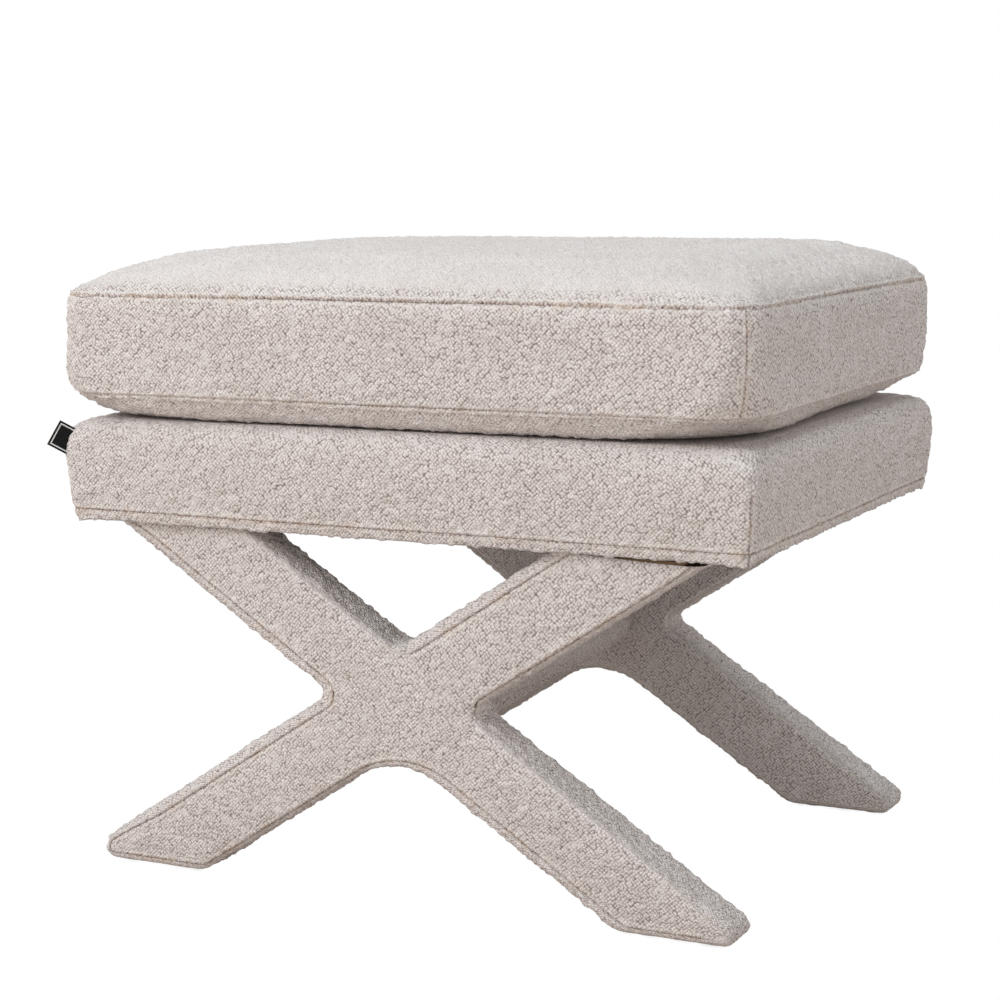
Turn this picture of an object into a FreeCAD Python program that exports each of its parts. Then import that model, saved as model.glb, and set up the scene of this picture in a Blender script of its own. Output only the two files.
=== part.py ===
import FreeCAD, Part
import math
import os

from FreeCAD import Vector

# An upholstered cross-leg stool: two padded X frames joined by a padded stretcher,
# a padded seat box (the deck) on top of them, and a loose boxed cushion on the deck.
# Millimetres, +Z up, origin on the floor under the middle of the stool.
# The front is towards -Y, and the tag is on the front left corner of the deck.

# Cloth, padding and clearances
cloth = 2.0
clearance = 0.2
hole_clearance = 0.1
overrun = 20.0

# Plan of the whole stool at its widest level
stool_length = 600.0
stool_depth = 460.0

# Deck: side walls that lean out to their widest level, then a rolled top edge
deck_bottom = 292.5
deck_flare = 6.5
deck_side_height = 54.5
deck_roll_rise = 30.0
deck_roll_run = 22.0
deck_corner_radius = 9.0
deck_top_corner_radius = 60.0
deck_band_height = 9.5
deck_hem_width = 25.0
deck_side_shares = [(0.0, 0.0), (0.22, 0.5), (0.5, 0.8), (1.0, 1.0)]
deck_roll_shares = [(0.35, 0.015), (0.6, 0.075), (0.8, 0.2), (0.93, 0.43), (1.0, 1.0)]

# Deck frame
rail_thickness = 30.0
rail_height = 50.0
rail_padding = 3.5
panel_thickness = 12.0
corner_block_leg = 62.0
corner_block_height = 40.0
block_screw_offset = 8.0
block_screw_shares = (0.25, 0.75)
rail_screw_shares = (0.3, 0.7)
bearer_width = 60.0
bearer_thickness = 20.0
dust_cover_thickness = 0.8
dust_cover_lap = 12.0
staple_wire = 0.6
staple_width = 10.0
staple_leg = 6.0
staples_along_length = 7
staples_along_depth = 5

# Tag sewn into the front left corner seam
tag_width = 22.5
tag_length = 26.0
tag_thickness = 1.0
tag_reach = 10.0
tag_height = 365.6
tag_tilt = 30.5

# X frames, as the outside of their covers
cross_height = 164.5
arm_angle = 33.2
arm_width = 67.0
frame_thickness = 40.0
frame_setback = 6.0
toe_wall = 17.7
top_crotch_radius = 20.0
side_crotch_radius = 8.0
bottom_crotch_radius = 72.0
toe_radius = 14.0
toe_bottom_radius = 8.6
heel_radius = 12.0
frame_edge_radius = 8.0
seam_inset = 9.5
least_radius = 1.5
toe_round_share = 0.85
toe_bottom_round_share = 0.52
frame_wadding = 3.0

# Glides under the feet
glide_thickness = 2.0
glide_radius = 9.0
glide_margin = 20.0
nail_radius = 1.2
nail_length = 16.0
nail_seat = 1.0

# Stretcher between the two crossings
stretcher_radius = 34.0
stretcher_core_width = 42.0
stretcher_core_radius = 8.0

# Fasteners
bolt_radius = 4.0
bolt_head_radius = 6.5
bolt_head_height = 5.0
stretcher_bolt_length = 95.0
barrel_nut_radius = 7.0
barrel_nut_length = 26.0
barrel_nut_depth = 55.0
dowel_radius = 4.0
dowel_length = 36.0
dowel_spacing = 30.0
dowel_seat = 12.0
hanger_bolt_length = 50.0
hanger_bolt_spacing = 36.0
hanger_bolt_margin = 20.0
hanger_bolt_in_rail = 18.0
insert_radius = 6.0
insert_length = 15.0
screw_radius = 2.0
screw_head_radius = 4.0
screw_head_height = 2.4
rail_screw_length = 60.0
panel_screw_length = 35.0
block_screw_length = 40.0
panel_screws_along_length = 4
panel_screws_along_depth = 3

# Cushion
cushion_gap = 0.3
cushion_overhang = 1.5
cushion_roll_rise = 20.7
cushion_roll_run = 26.0
cushion_box_height = 80.5
cushion_box_bulge = 4.0
cushion_draw_in = 2.5
cushion_corner_radius = 24.0
cushion_base_corner_radius = 90.0
cushion_crown = 35.0
cushion_wrap = 8.0
cushion_welt_radius = 1.7
welt_edge_share = 0.6
seam_split_share = 2.0
box_level_shares = [0.0, 0.25, 0.5, 0.75, 1.0]
# Each row of the crown has its rise, its size and how round its corners have become.
crown_shares = [
    (0.0, 1.0, 0.0),
    (0.3, 0.974, 0.016),
    (0.6, 0.92, 0.13),
    (0.82, 0.844, 0.33),
    (0.94, 0.739, 0.5),
    (0.985, 0.622, 0.57),
    (1.0, 0.42, 0.6),
]
cushion_roll_shares = [(0.0, 0.0), (0.25, 0.13), (0.5, 0.27), (0.75, 0.43), (0.92, 0.64), (1.0, 1.0)]

# Zip in the rear boxing of the cushion
zip_length = 470.0
zip_slot_height = 8.4
zip_tape_width = 14.0
zip_tape_thickness = 0.4
zip_tape_gap = 0.4
coil_radius = 1.4
coil_spacing = 3.0
zip_stop_length = 2.5
slider_length = 10.0
slider_height = 8.4
slider_plate = 1.5
slider_clearance = 0.35
slider_flange = 0.5
slider_flange_depth = 2.3
ear_thickness = 1.0
ear_height = 3.2
ear_gap = 3.8
pin_radius = 0.8
pin_running_clearance = 0.06
pin_stand_off = 2.4
pull_eye_radius = 1.9
pull_thickness = 1.6
pull_width = 6.0
pull_eye_width = 3.2
pull_length = 24.0
pull_neck_length = 8.0
pull_round = 1.5

# Levels worked out from the sizes above
half_length = stool_length / 2
half_depth = stool_depth / 2
cushion_half_length = half_length + cushion_overhang
cushion_half_depth = half_depth + cushion_overhang
deck_widest = deck_bottom + deck_side_height
deck_top = deck_widest + deck_roll_rise
rail_bottom = deck_bottom + cloth
rail_top = rail_bottom + rail_height
panel_top = rail_top + panel_thickness
rail_half_length = half_length - deck_flare - cloth - rail_padding
rail_half_depth = half_depth - deck_flare - cloth - rail_padding
cushion_bottom = deck_top + cushion_gap
bottom_seam = cushion_bottom + cushion_roll_rise
top_seam = bottom_seam + cushion_box_height
zip_level = bottom_seam + cushion_box_height / 2
tape_outside = cloth + hole_clearance
filling_outside = tape_outside + zip_tape_thickness + clearance
frame_middle = half_depth - deck_flare - frame_setback - frame_thickness / 2
board_skin = cloth + clearance + frame_wadding
board_half_thickness = frame_thickness / 2 - board_skin
foot_bottom = glide_thickness
slope = math.tan(math.radians(arm_angle))
arm_half_run = arm_width / 2 / math.sin(math.radians(arm_angle))
toe_reach = arm_half_run + (cross_height - foot_bottom - toe_wall) / slope

os.makedirs("parts", exist_ok=True)


def save(name, shape):
    shape.exportStep("parts/" + name + ".step")


def box(low, high):
    """A box between two corners given as (x, y, z)."""
    size = [high[i] - low[i] for i in range(3)]
    return Part.makeBox(size[0], size[1], size[2], Vector(low[0], low[1], low[2]))


def level_box(bottom, top):
    """All of the space between two levels, wider than the stool."""
    reach = stool_length
    return box((-reach, -reach, bottom), (reach, reach, top))


def mirrored_x(shape):
    return shape.mirror(Vector(0, 0, 0), Vector(1, 0, 0))


def mirrored_y(shape):
    return shape.mirror(Vector(0, 0, 0), Vector(0, 1, 0))


def joined(shapes):
    return Part.makeCompound(shapes)


def rounded_rectangle(half_x, half_y, radius, level, draw_in=0.0):
    """A level outline with round corners. Its sides are drawn in at their middles."""
    in_x = half_x - radius
    in_y = half_y - radius
    lean = radius * math.sqrt(0.5)
    edges = []
    corners = [(1, 1), (-1, 1), (-1, -1), (1, -1)]
    for turn, (sx, sy) in enumerate(corners):
        on_x = Vector(sx * half_x, sy * in_y, level)
        on_y = Vector(sx * in_x, sy * half_y, level)
        middle = Vector(sx * (in_x + lean), sy * (in_y + lean), level)
        start, end = (on_x, on_y) if turn % 2 == 0 else (on_y, on_x)
        edges.append(Part.Arc(start, middle, end).toShape())
        if turn % 2 == 0:
            side_end = Vector(-end.x, end.y, level)
            side_middle = Vector(0, sy * (half_y - draw_in), level)
        else:
            side_end = Vector(end.x, -end.y, level)
            side_middle = Vector(sx * (half_x - draw_in), 0, level)
        if draw_in > 0:
            edges.append(Part.Arc(end, side_middle, side_end).toShape())
        else:
            edges.append(Part.LineSegment(end, side_end).toShape())
    return Part.Wire(edges)


def lofted(outlines):
    return Part.makeLoft(outlines, True, False)


def rounded_polygon(corners, depth):
    """A wire in a plane of constant y. Each corner is (x, z, radius)."""
    count = len(corners)
    points = [Vector(x, depth, z) for x, z, radius in corners]
    starts = []
    ends = []
    middles = []
    for i in range(count):
        here = points[i]
        radius = corners[i][2]
        back = (points[i - 1] - here).normalize()
        ahead = (points[(i + 1) % count] - here).normalize()
        half_angle = back.getAngle(ahead) / 2
        run = radius / math.tan(half_angle)
        bisector = (back + ahead).normalize()
        centre = here + bisector * (radius / math.sin(half_angle))
        starts.append(here + back * run)
        ends.append(here + ahead * run)
        middles.append(centre - bisector * radius)
    edges = []
    for i in range(count):
        if corners[i][2] > 0:
            edges.append(Part.Arc(starts[i], middles[i], ends[i]).toShape())
        edges.append(Part.LineSegment(ends[i], starts[(i + 1) % count]).toShape())
    return Part.Wire(edges)


def countersunk_screw(point, direction, length, extra=0.0):
    """A screw whose head is flush at the point. The extra makes its hole."""
    shank = Part.makeCylinder(screw_radius + extra, length, point, direction)
    head_tip = screw_radius + extra
    head = Part.makeCone(screw_head_radius + extra, head_tip, screw_head_height, point, direction)
    return shank.fuse(head)


# The X frames


def frame_outline(inset, top, depth):
    """The X seen from the front, inset from the outside of its cover."""
    half_rise = (arm_width / 2 - inset) / math.cos(math.radians(arm_angle))
    half_run = (arm_width / 2 - inset) / math.sin(math.radians(arm_angle))
    toe = toe_reach - inset
    foot = foot_bottom + inset
    upper_inner = (top - cross_height - half_rise) / slope
    upper_outer = upper_inner + 2 * half_run
    heel = (cross_height - half_rise - foot) / slope
    toe_top = cross_height - (toe - half_run) * slope
    wall = toe_top - foot
    round_toe = min(max(toe_radius - inset, least_radius), wall * toe_round_share)
    round_toe_bottom = max(toe_bottom_radius - inset, least_radius)
    round_toe_bottom = min(round_toe_bottom, wall * toe_bottom_round_share)
    round_heel = max(heel_radius - inset, least_radius)
    right = [
        (upper_inner, top, 0.0),
        (upper_outer, top, 0.0),
        (half_run, cross_height, side_crotch_radius + inset),
        (toe, toe_top, round_toe),
        (toe, foot, round_toe_bottom),
        (heel, foot, round_heel),
    ]
    left = [(-x, z, radius) for x, z, radius in reversed(right)]
    bottom = [(0.0, cross_height - half_rise, bottom_crotch_radius + inset)]
    crotch = [(0.0, cross_height + half_rise, top_crotch_radius + inset)]
    return rounded_polygon(right + bottom + left + crotch, depth)


def frame_form(inset):
    """The padded X of the front frame with soft edges, inset from its cover."""
    half_thickness = frame_thickness / 2 - inset
    outline = frame_outline(inset, deck_bottom + overrun, -frame_middle - half_thickness)
    solid = Part.Face(outline).extrude(Vector(0, 2 * half_thickness, 0))
    faces_y = (-frame_middle - half_thickness, -frame_middle + half_thickness)
    level = deck_bottom + overrun - clearance
    rims = []
    for edge in solid.Edges:
        bounds = edge.BoundBox
        flat = bounds.YLength < clearance
        on_face = min(abs(bounds.YMin - y) for y in faces_y) < clearance
        if flat and on_face and bounds.ZMin < level:
            rims.append(edge)
    solid = solid.makeFillet(frame_edge_radius - inset, rims)
    return solid.cut(level_box(deck_bottom - inset, deck_bottom + 2 * overrun))


def board_outline():
    """The board that rises to the right, seen from the front."""
    half_rise = (arm_width / 2 - board_skin) / math.cos(math.radians(arm_angle))
    toe = toe_reach - board_skin
    foot = foot_bottom + board_skin
    top = deck_bottom - cloth
    return [
        ((top - cross_height - half_rise) / slope, top, 0.0),
        ((top - cross_height + half_rise) / slope, top, 0.0),
        ((foot - cross_height + half_rise) / slope, foot, 0.0),
        (-toe, foot, 0.0),
        (-toe, cross_height - toe * slope + half_rise, 0.0),
    ]


def board(front, back):
    """The rising board between two values of y."""
    wire = rounded_polygon(board_outline(), front)
    return Part.Face(wire).extrude(Vector(0, back - front, 0))


def crossed_boards():
    """Two boards of the front frame, halved into each other where they cross."""
    front = -frame_middle - board_half_thickness
    back = -frame_middle + board_half_thickness
    rising = board(front, back)
    falling = mirrored_x(rising)
    front_half = board(front, -frame_middle)
    back_half = mirrored_x(board(-frame_middle, back))
    return rising.cut(back_half), falling.cut(front_half)


def face_panel(outside):
    """The cloth panel on the front or back of the front frame, inside its seam line."""
    face = -frame_middle + outside * frame_thickness / 2
    outline = frame_outline(seam_inset, deck_bottom, face)
    return Part.Face(outline).extrude(Vector(0, -outside * cloth, 0))


def foot_positions():
    """The middles of the two glides under each foot of the front frame."""
    half_rise = arm_width / 2 / math.cos(math.radians(arm_angle))
    heel = (cross_height - half_rise - foot_bottom) / slope
    return [heel + glide_margin, toe_reach - glide_margin]


def glide_nails(extra=0.0):
    places = [s * x for s in (-1, 1) for x in foot_positions()]
    nails = []
    for x in places:
        foot = Vector(x, -frame_middle, nail_seat)
        nails.append(Part.makeCylinder(nail_radius + extra, nail_length, foot, Vector(0, 0, 1)))
    return nails


def glide_caps():
    places = [s * x for s in (-1, 1) for x in foot_positions()]
    caps = []
    for x in places:
        foot = Vector(x, -frame_middle, 0)
        caps.append(Part.makeCylinder(glide_radius, glide_thickness, foot, Vector(0, 0, 1)))
    return joined(caps).cut(joined(glide_nails()))


def hanger_places():
    """Where the bolts stand on the arm tops of the front frame."""
    half_rise = arm_width / 2 / math.cos(math.radians(arm_angle))
    inner_edge = (deck_bottom - cross_height - half_rise) / slope
    front = -frame_middle - board_half_thickness
    rail_inside = -rail_half_depth + rail_thickness
    depth = (front + rail_inside) / 2
    nearer = inner_edge + hanger_bolt_margin
    reaches = (nearer, nearer + hanger_bolt_spacing)
    return [(side * reach, depth) for side in (-1, 1) for reach in reaches]


def hanger_bolts(extra=0.0):
    bottom = rail_bottom + hanger_bolt_in_rail - hanger_bolt_length - extra
    length = hanger_bolt_length + 2 * extra
    bolts = []
    for x, y in hanger_places():
        bolts.append(Part.makeCylinder(bolt_radius + extra, length, Vector(x, y, bottom)))
    return bolts


def threaded_inserts(extra=0.0):
    inserts = []
    for x, y in hanger_places():
        foot = Vector(x, y, rail_bottom)
        outside = Part.makeCylinder(insert_radius + extra, insert_length + extra, foot)
        inserts.append(outside)
    return inserts


# The stretcher


def stretcher_core_solid(extra=0.0):
    half = stretcher_core_width / 2 + extra
    reach = frame_middle - board_half_thickness
    radius = stretcher_core_radius
    corners = [(half, half), (half, -half), (-half, -half), (-half, half)]
    outline = [(x, cross_height + z, radius) for x, z in corners]
    return Part.Face(rounded_polygon(outline, -reach)).extrude(Vector(0, 2 * reach, 0))


def stretcher_tube(inset, reach):
    start = Vector(0, -reach, cross_height)
    return Part.makeCylinder(stretcher_radius - inset, 2 * reach, start, Vector(0, 1, 0))


def stretcher_bolt(extra=0.0):
    """The bolt through the front crossing into the end of the stretcher."""
    face = -frame_middle - board_half_thickness
    along = Vector(0, 1, 0)
    start = Vector(0, face - extra, cross_height)
    head = Part.makeCylinder(bolt_head_radius + extra, bolt_head_height + 2 * extra, start, along)
    shank = Part.makeCylinder(bolt_radius + extra, stretcher_bolt_length + 2 * extra, start, along)
    return head.fuse(shank)


def barrel_nut(extra=0.0):
    end = -frame_middle + board_half_thickness
    length = barrel_nut_length + 2 * extra
    start = Vector(-length / 2, end + barrel_nut_depth, cross_height)
    return Part.makeCylinder(barrel_nut_radius + extra, length, start, Vector(1, 0, 0))


def stretcher_dowels(extra=0.0):
    end = -frame_middle + board_half_thickness
    length = dowel_length + 2 * extra
    dowels = []
    for side in (-1, 1):
        start = Vector(side * dowel_spacing / 2, end - dowel_seat - extra, cross_height)
        dowels.append(Part.makeCylinder(dowel_radius + extra, length, start, Vector(0, 1, 0)))
    return dowels


def both_ends(shapes):
    """The front pieces and their copies at the rear, as separate solids."""
    return joined(shapes + [mirrored_y(shape) for shape in shapes])


def make_base():
    rising, falling = crossed_boards()
    bolt_hole = stretcher_bolt(hole_clearance)
    dowel_holes = joined(stretcher_dowels(hole_clearance))
    nail_holes = joined(glide_nails(hole_clearance))
    hanger_holes = joined(hanger_bolts(hole_clearance))
    core = stretcher_core_solid()
    core_hole = stretcher_core_solid(clearance)
    outer = frame_form(0)
    cover_inside = frame_form(cloth)
    wadding_outside = frame_form(cloth + clearance)
    outer_panel = face_panel(-1)
    inner_panel = face_panel(1)
    band = outer.cut(cover_inside).cut(outer_panel).cut(inner_panel)
    wadding = wadding_outside.cut(rising.fuse(falling)).cut(core_hole)
    pieces = {
        "rising_board": rising.cut(bolt_hole).cut(dowel_holes).cut(nail_holes).cut(hanger_holes),
        "falling_board": falling.cut(bolt_hole).cut(dowel_holes).cut(nail_holes).cut(hanger_holes),
        "wadding": wadding.cut(nail_holes).cut(hanger_holes),
        "edge_band": band.cut(nail_holes).cut(hanger_holes),
        "outer_panel": outer_panel,
        "inner_panel": inner_panel.cut(core_hole),
    }
    for name, shape in pieces.items():
        save("front_" + name, shape)
        save("rear_" + name, mirrored_y(shape))

    inner_face = frame_middle - frame_thickness / 2
    holes = both_ends([bolt_hole, barrel_nut(hole_clearance), dowel_holes])
    save("stretcher_core", core.cut(holes))
    wadding_tube = stretcher_tube(cloth + clearance, inner_face)
    save("stretcher_wadding", wadding_tube.cut(core_hole))
    cover_tube = stretcher_tube(0, inner_face).cut(stretcher_tube(cloth, inner_face + overrun))
    save("stretcher_cover", cover_tube)
    nut = barrel_nut().cut(bolt_hole)
    save("stretcher_bolts", both_ends([stretcher_bolt()]))
    save("stretcher_barrel_nuts", both_ends([nut]))
    save("stretcher_dowels", both_ends(stretcher_dowels()))
    save("glide_caps", both_ends([glide_caps()]))
    save("glide_nails", both_ends(glide_nails()))
    save("hanger_bolts", both_ends(hanger_bolts()))
    inserts = joined(threaded_inserts()).cut(hanger_holes)
    save("threaded_inserts", both_ends([inserts]))


# The deck


def deck_form(inset):
    """The padded deck as one solid, inset from the outside of its cover."""
    bottom = deck_bottom + inset
    side_rise = deck_widest - bottom
    outlines = []
    for rise, lean in deck_side_shares:
        narrower = inset + deck_flare * (1 - lean)
        radius = deck_corner_radius - inset
        level = bottom + side_rise * rise
        outlines.append(
            rounded_rectangle(half_length - narrower, half_depth - narrower, radius, level)
        )
    for rise, run in deck_roll_shares:
        narrower = inset + (deck_roll_run - inset) * run
        level = deck_widest + (deck_roll_rise - inset) * rise
        grown = (deck_top_corner_radius - deck_corner_radius + inset) * run
        radius = deck_corner_radius - inset + grown
        outlines.append(
            rounded_rectangle(half_length - narrower, half_depth - narrower, radius, level)
        )
    return lofted(outlines)


def rail_screws(extra=0.0):
    """Two screws through the front rail into the end of each side rail, and at the rear."""
    screws = []
    for side in (-1, 1):
        x = side * (rail_half_length - rail_thickness / 2)
        for share in rail_screw_shares:
            point = Vector(x, -rail_half_depth, rail_bottom + rail_height * share)
            screws.append(countersunk_screw(point, Vector(0, 1, 0), rail_screw_length, extra))
    return screws + [mirrored_y(screw) for screw in screws]


def panel_screws(extra=0.0):
    """Screws down through the panel into the rails, all round."""
    x_reach = rail_half_length - rail_thickness / 2
    y_reach = rail_half_depth - rail_thickness / 2
    places = []
    for i in range(panel_screws_along_length):
        share = (i + 1) / (panel_screws_along_length + 1)
        x = x_reach * (2 * share - 1)
        places += [(x, -y_reach), (x, y_reach)]
    for i in range(panel_screws_along_depth):
        share = (i + 1) / (panel_screws_along_depth + 1)
        y = y_reach * (2 * share - 1)
        places += [(-x_reach, y), (x_reach, y)]
    down = Vector(0, 0, -1)
    length = panel_screw_length
    return [countersunk_screw(Vector(x, y, panel_top), down, length, extra) for x, y in places]


def corner_block(sx, sy):
    x = sx * (rail_half_length - rail_thickness)
    y = sy * (rail_half_depth - rail_thickness)
    level = rail_top - corner_block_height
    points = [
        Vector(x, y, level),
        Vector(x - sx * corner_block_leg, y, level),
        Vector(x, y - sy * corner_block_leg, level),
    ]
    face = Part.Face(Part.makePolygon(points + points[:1]))
    return face.extrude(Vector(0, 0, corner_block_height))


def block_screws(sx, sy, extra=0.0):
    """Two screws from inside the block's long face, one into each rail."""
    x = sx * (rail_half_length - rail_thickness)
    y = sy * (rail_half_depth - rail_thickness)
    level = rail_top - corner_block_height / 2
    near = corner_block_leg * block_screw_shares[0]
    far = corner_block_leg * block_screw_shares[1]
    into_side = Vector(x - sx * far, y - sy * near, level - block_screw_offset)
    into_front = Vector(x - sx * near, y - sy * far, level + block_screw_offset)
    length = block_screw_length
    return [
        countersunk_screw(into_side, Vector(0, sy, 0), length, extra),
        countersunk_screw(into_front, Vector(sx, 0, 0), length, extra),
    ]


def staple(x, y, along_x):
    """A staple under the dust cover with its two legs up in the rail."""
    level = rail_bottom - dust_cover_thickness
    half = staple_width / 2
    wire = staple_wire
    reach_x = half if along_x else wire / 2
    reach_y = wire / 2 if along_x else half
    crown = box((x - reach_x, y - reach_y, level - wire), (x + reach_x, y + reach_y, level))
    legs = []
    for side in (-1, 1):
        middle_x = x + side * (half - wire / 2) * (1 if along_x else 0)
        middle_y = y + side * (half - wire / 2) * (0 if along_x else 1)
        low = (middle_x - wire / 2, middle_y - wire / 2, level - wire)
        high = (middle_x + wire / 2, middle_y + wire / 2, level + staple_leg)
        legs.append(box(low, high))
    return crown.fuse(legs[0]).fuse(legs[1])


def staples():
    x_line = rail_half_length - rail_thickness + dust_cover_lap / 2
    y_line = rail_half_depth - rail_thickness + dust_cover_lap / 2
    found = []
    for i in range(staples_along_length):
        x = x_line * (2 * (i + 1) / (staples_along_length + 1) - 1)
        found += [staple(x, -y_line, True), staple(x, y_line, True)]
    for i in range(staples_along_depth):
        y = y_line * (2 * (i + 1) / (staples_along_depth + 1) - 1)
        found += [staple(-x_line, y, False), staple(x_line, y, False)]
    return joined(found)


def tag(deck):
    """The folded cloth tag that stands out of the front left corner seam."""
    outward = Vector(-1, -1, 0).normalize()
    tilt = math.radians(tag_tilt)
    along = outward * math.cos(tilt) + Vector(0, 0, math.sin(tilt))
    across = outward * math.sin(tilt) - Vector(0, 0, math.cos(tilt))
    normal = along.cross(across)
    inset = deck_corner_radius * (1 - math.sqrt(0.5))
    apex = Vector(-half_length + inset, -half_depth + inset, tag_height)
    end = apex + outward * tag_reach
    start = end - along * tag_length
    half = across * (tag_width / 2)
    low = normal * (tag_thickness / -2)
    corners = [start - half + low, end - half + low, end + half + low, start + half + low]
    face = Part.Face(Part.makePolygon(corners + corners[:1]))
    return face.extrude(normal * tag_thickness).cut(deck)


def make_deck():
    outer = deck_form(0)
    inside = deck_form(cloth)
    padding = deck_form(cloth + clearance)
    hem_x = half_length - deck_flare - deck_hem_width
    hem_y = half_depth - deck_flare - deck_hem_width
    hem_hole = box((-hem_x, -hem_y, deck_bottom - overrun), (hem_x, hem_y, rail_bottom))
    skin = outer.cut(inside).cut(hem_hole)
    band_top = deck_bottom + deck_band_height
    hanger_holes = both_ends(hanger_bolts(hole_clearance))
    insert_holes = both_ends(threaded_inserts(hole_clearance))
    band = skin.common(level_box(deck_bottom - overrun, band_top)).cut(hanger_holes)
    save("deck_bottom_band", band)
    save("deck_cover", skin.common(level_box(band_top, deck_top + overrun)))
    rails_outside = box(
        (-rail_half_length, -rail_half_depth, deck_bottom - overrun),
        (rail_half_length, rail_half_depth, panel_top + overrun),
    )
    side_foam = padding.common(level_box(rail_bottom + clearance, panel_top))
    save("deck_side_padding", side_foam.cut(rails_outside))
    save("deck_foam", padding.common(level_box(panel_top, deck_top + overrun)))

    rail_in_x = rail_half_length - rail_thickness
    rail_in_y = rail_half_depth - rail_thickness
    front = box(
        (-rail_half_length, -rail_half_depth, rail_bottom),
        (rail_half_length, -rail_in_y, rail_top),
    )
    left = box(
        (-rail_half_length, -rail_in_y, rail_bottom),
        (-rail_in_x, rail_in_y, rail_top),
    )
    corners = [(-1, -1), (1, -1), (1, 1), (-1, 1)]
    block_holes = joined([s for c in corners for s in block_screws(c[0], c[1], hole_clearance)])
    rail_holes = joined(rail_screws(hole_clearance))
    panel_holes = joined(panel_screws(hole_clearance))
    all_staples = staples()
    rails = {"front": front, "rear": mirrored_y(front), "left": left, "right": mirrored_x(left)}
    for name, rail in rails.items():
        rail = rail.cut(block_holes).cut(rail_holes).cut(panel_holes).cut(all_staples)
        save("deck_rail_" + name, rail.cut(insert_holes).cut(hanger_holes))
    blocks = joined([corner_block(sx, sy) for sx, sy in corners]).cut(block_holes)
    save("corner_blocks", blocks)
    save("corner_block_screws", joined([s for c in corners for s in block_screws(c[0], c[1])]))
    save("rail_screws", joined(rail_screws()))
    save("panel_screws", joined(panel_screws()))
    panel = box(
        (-rail_half_length, -rail_half_depth, rail_top),
        (rail_half_length, rail_half_depth, panel_top),
    )
    save("deck_panel", panel.cut(panel_holes))
    bearer = box(
        (-bearer_width / 2, -rail_in_y, rail_top - bearer_thickness),
        (bearer_width / 2, rail_in_y, rail_top),
    )
    save("deck_bearer", bearer)
    dust_x = rail_in_x + dust_cover_lap
    dust_y = rail_in_y + dust_cover_lap
    dust_bottom = rail_bottom - dust_cover_thickness
    dust = box((-dust_x, -dust_y, dust_bottom), (dust_x, dust_y, rail_bottom))
    save("dust_cover", dust.cut(all_staples).cut(hanger_holes).cut(band))
    save("dust_cover_staples", all_staples)
    save("tag", tag(outer))


# The cushion


def boxing_half_sizes(share, inset):
    """Half length, half depth and draw-in of the boxing at a share of its height."""
    off_middle = (2 * share - 1) ** 2
    narrower = cushion_box_bulge * off_middle + inset
    half_x = cushion_half_length - narrower
    half_y = cushion_half_depth - narrower
    return half_x, half_y, cushion_draw_in * off_middle


def boxing_form(inset):
    outlines = []
    for share in box_level_shares:
        half_x, half_y, draw_in = boxing_half_sizes(share, inset)
        level = bottom_seam + cushion_box_height * share
        radius = cushion_corner_radius - inset
        outlines.append(rounded_rectangle(half_x, half_y, radius, level, draw_in))
    return lofted(outlines)


def crown_form(inset):
    """The crowned top above the top seam."""
    half_x, half_y, draw_in = boxing_half_sizes(1, inset)
    outlines = []
    for rise, size, rounding in crown_shares:
        corner = (cushion_corner_radius - inset) * size
        radius = corner + (half_y * size - corner) * rounding
        level = top_seam + (cushion_crown - inset) * rise
        outlines.append(
            rounded_rectangle(half_x * size, half_y * size, radius, level, draw_in * size)
        )
    return lofted(outlines)


def base_form(inset):
    """The rolled underside below the bottom seam, flat where it rests on the deck."""
    half_x, half_y, draw_in = boxing_half_sizes(0, inset)
    outlines = []
    start_radius = cushion_corner_radius - inset
    for rise, run in cushion_roll_shares:
        narrower = (cushion_roll_run - inset) * run
        radius = start_radius + (cushion_base_corner_radius - start_radius) * run
        level = bottom_seam - (cushion_roll_rise - inset) * rise
        in_x = half_x - narrower
        in_y = half_y - narrower
        outlines.append(rounded_rectangle(in_x, in_y, radius, level, draw_in * (1 - rise)))
    return lofted(outlines)


def cushion_form(inset):
    return base_form(inset).fuse(boxing_form(inset)).fuse(crown_form(inset))


def side_sector(side):
    """The part of the plan nearer to one side, split at the corners."""
    reach_x = cushion_half_length + overrun
    reach_y = cushion_half_depth + overrun
    in_x = cushion_half_length - cushion_corner_radius * seam_split_share
    in_y = cushion_half_depth - cushion_corner_radius * seam_split_share
    sectors = {
        "front": [(-reach_x, -reach_y), (reach_x, -reach_y), (in_x, -in_y), (-in_x, -in_y)],
        "rear": [(-reach_x, reach_y), (reach_x, reach_y), (in_x, in_y), (-in_x, in_y)],
        "left": [(-reach_x, -reach_y), (-in_x, -in_y), (-in_x, in_y), (-reach_x, reach_y)],
        "right": [(reach_x, -reach_y), (in_x, -in_y), (in_x, in_y), (reach_x, reach_y)],
    }
    points = [Vector(px, py, bottom_seam) for px, py in sectors[side]]
    face = Part.Face(Part.makePolygon(points + points[:1]))
    return face.extrude(Vector(0, 0, cushion_box_height))


def welt(share, form):
    """The thin ridge of a seam, outside the panels that it joins."""
    proud = cushion_welt_radius
    half_x, half_y, draw_in = boxing_half_sizes(share, -proud)
    level = bottom_seam + cushion_box_height * share
    radius = cushion_corner_radius + proud
    outline = rounded_rectangle(half_x, half_y, radius, level - proud, draw_in)
    slab = Part.Face(outline).extrude(Vector(0, 0, 2 * proud))
    rims = [edge for edge in slab.Edges if edge.BoundBox.ZLength < proud]
    return slab.makeChamfer(proud * welt_edge_share, rims).cut(form)


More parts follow.
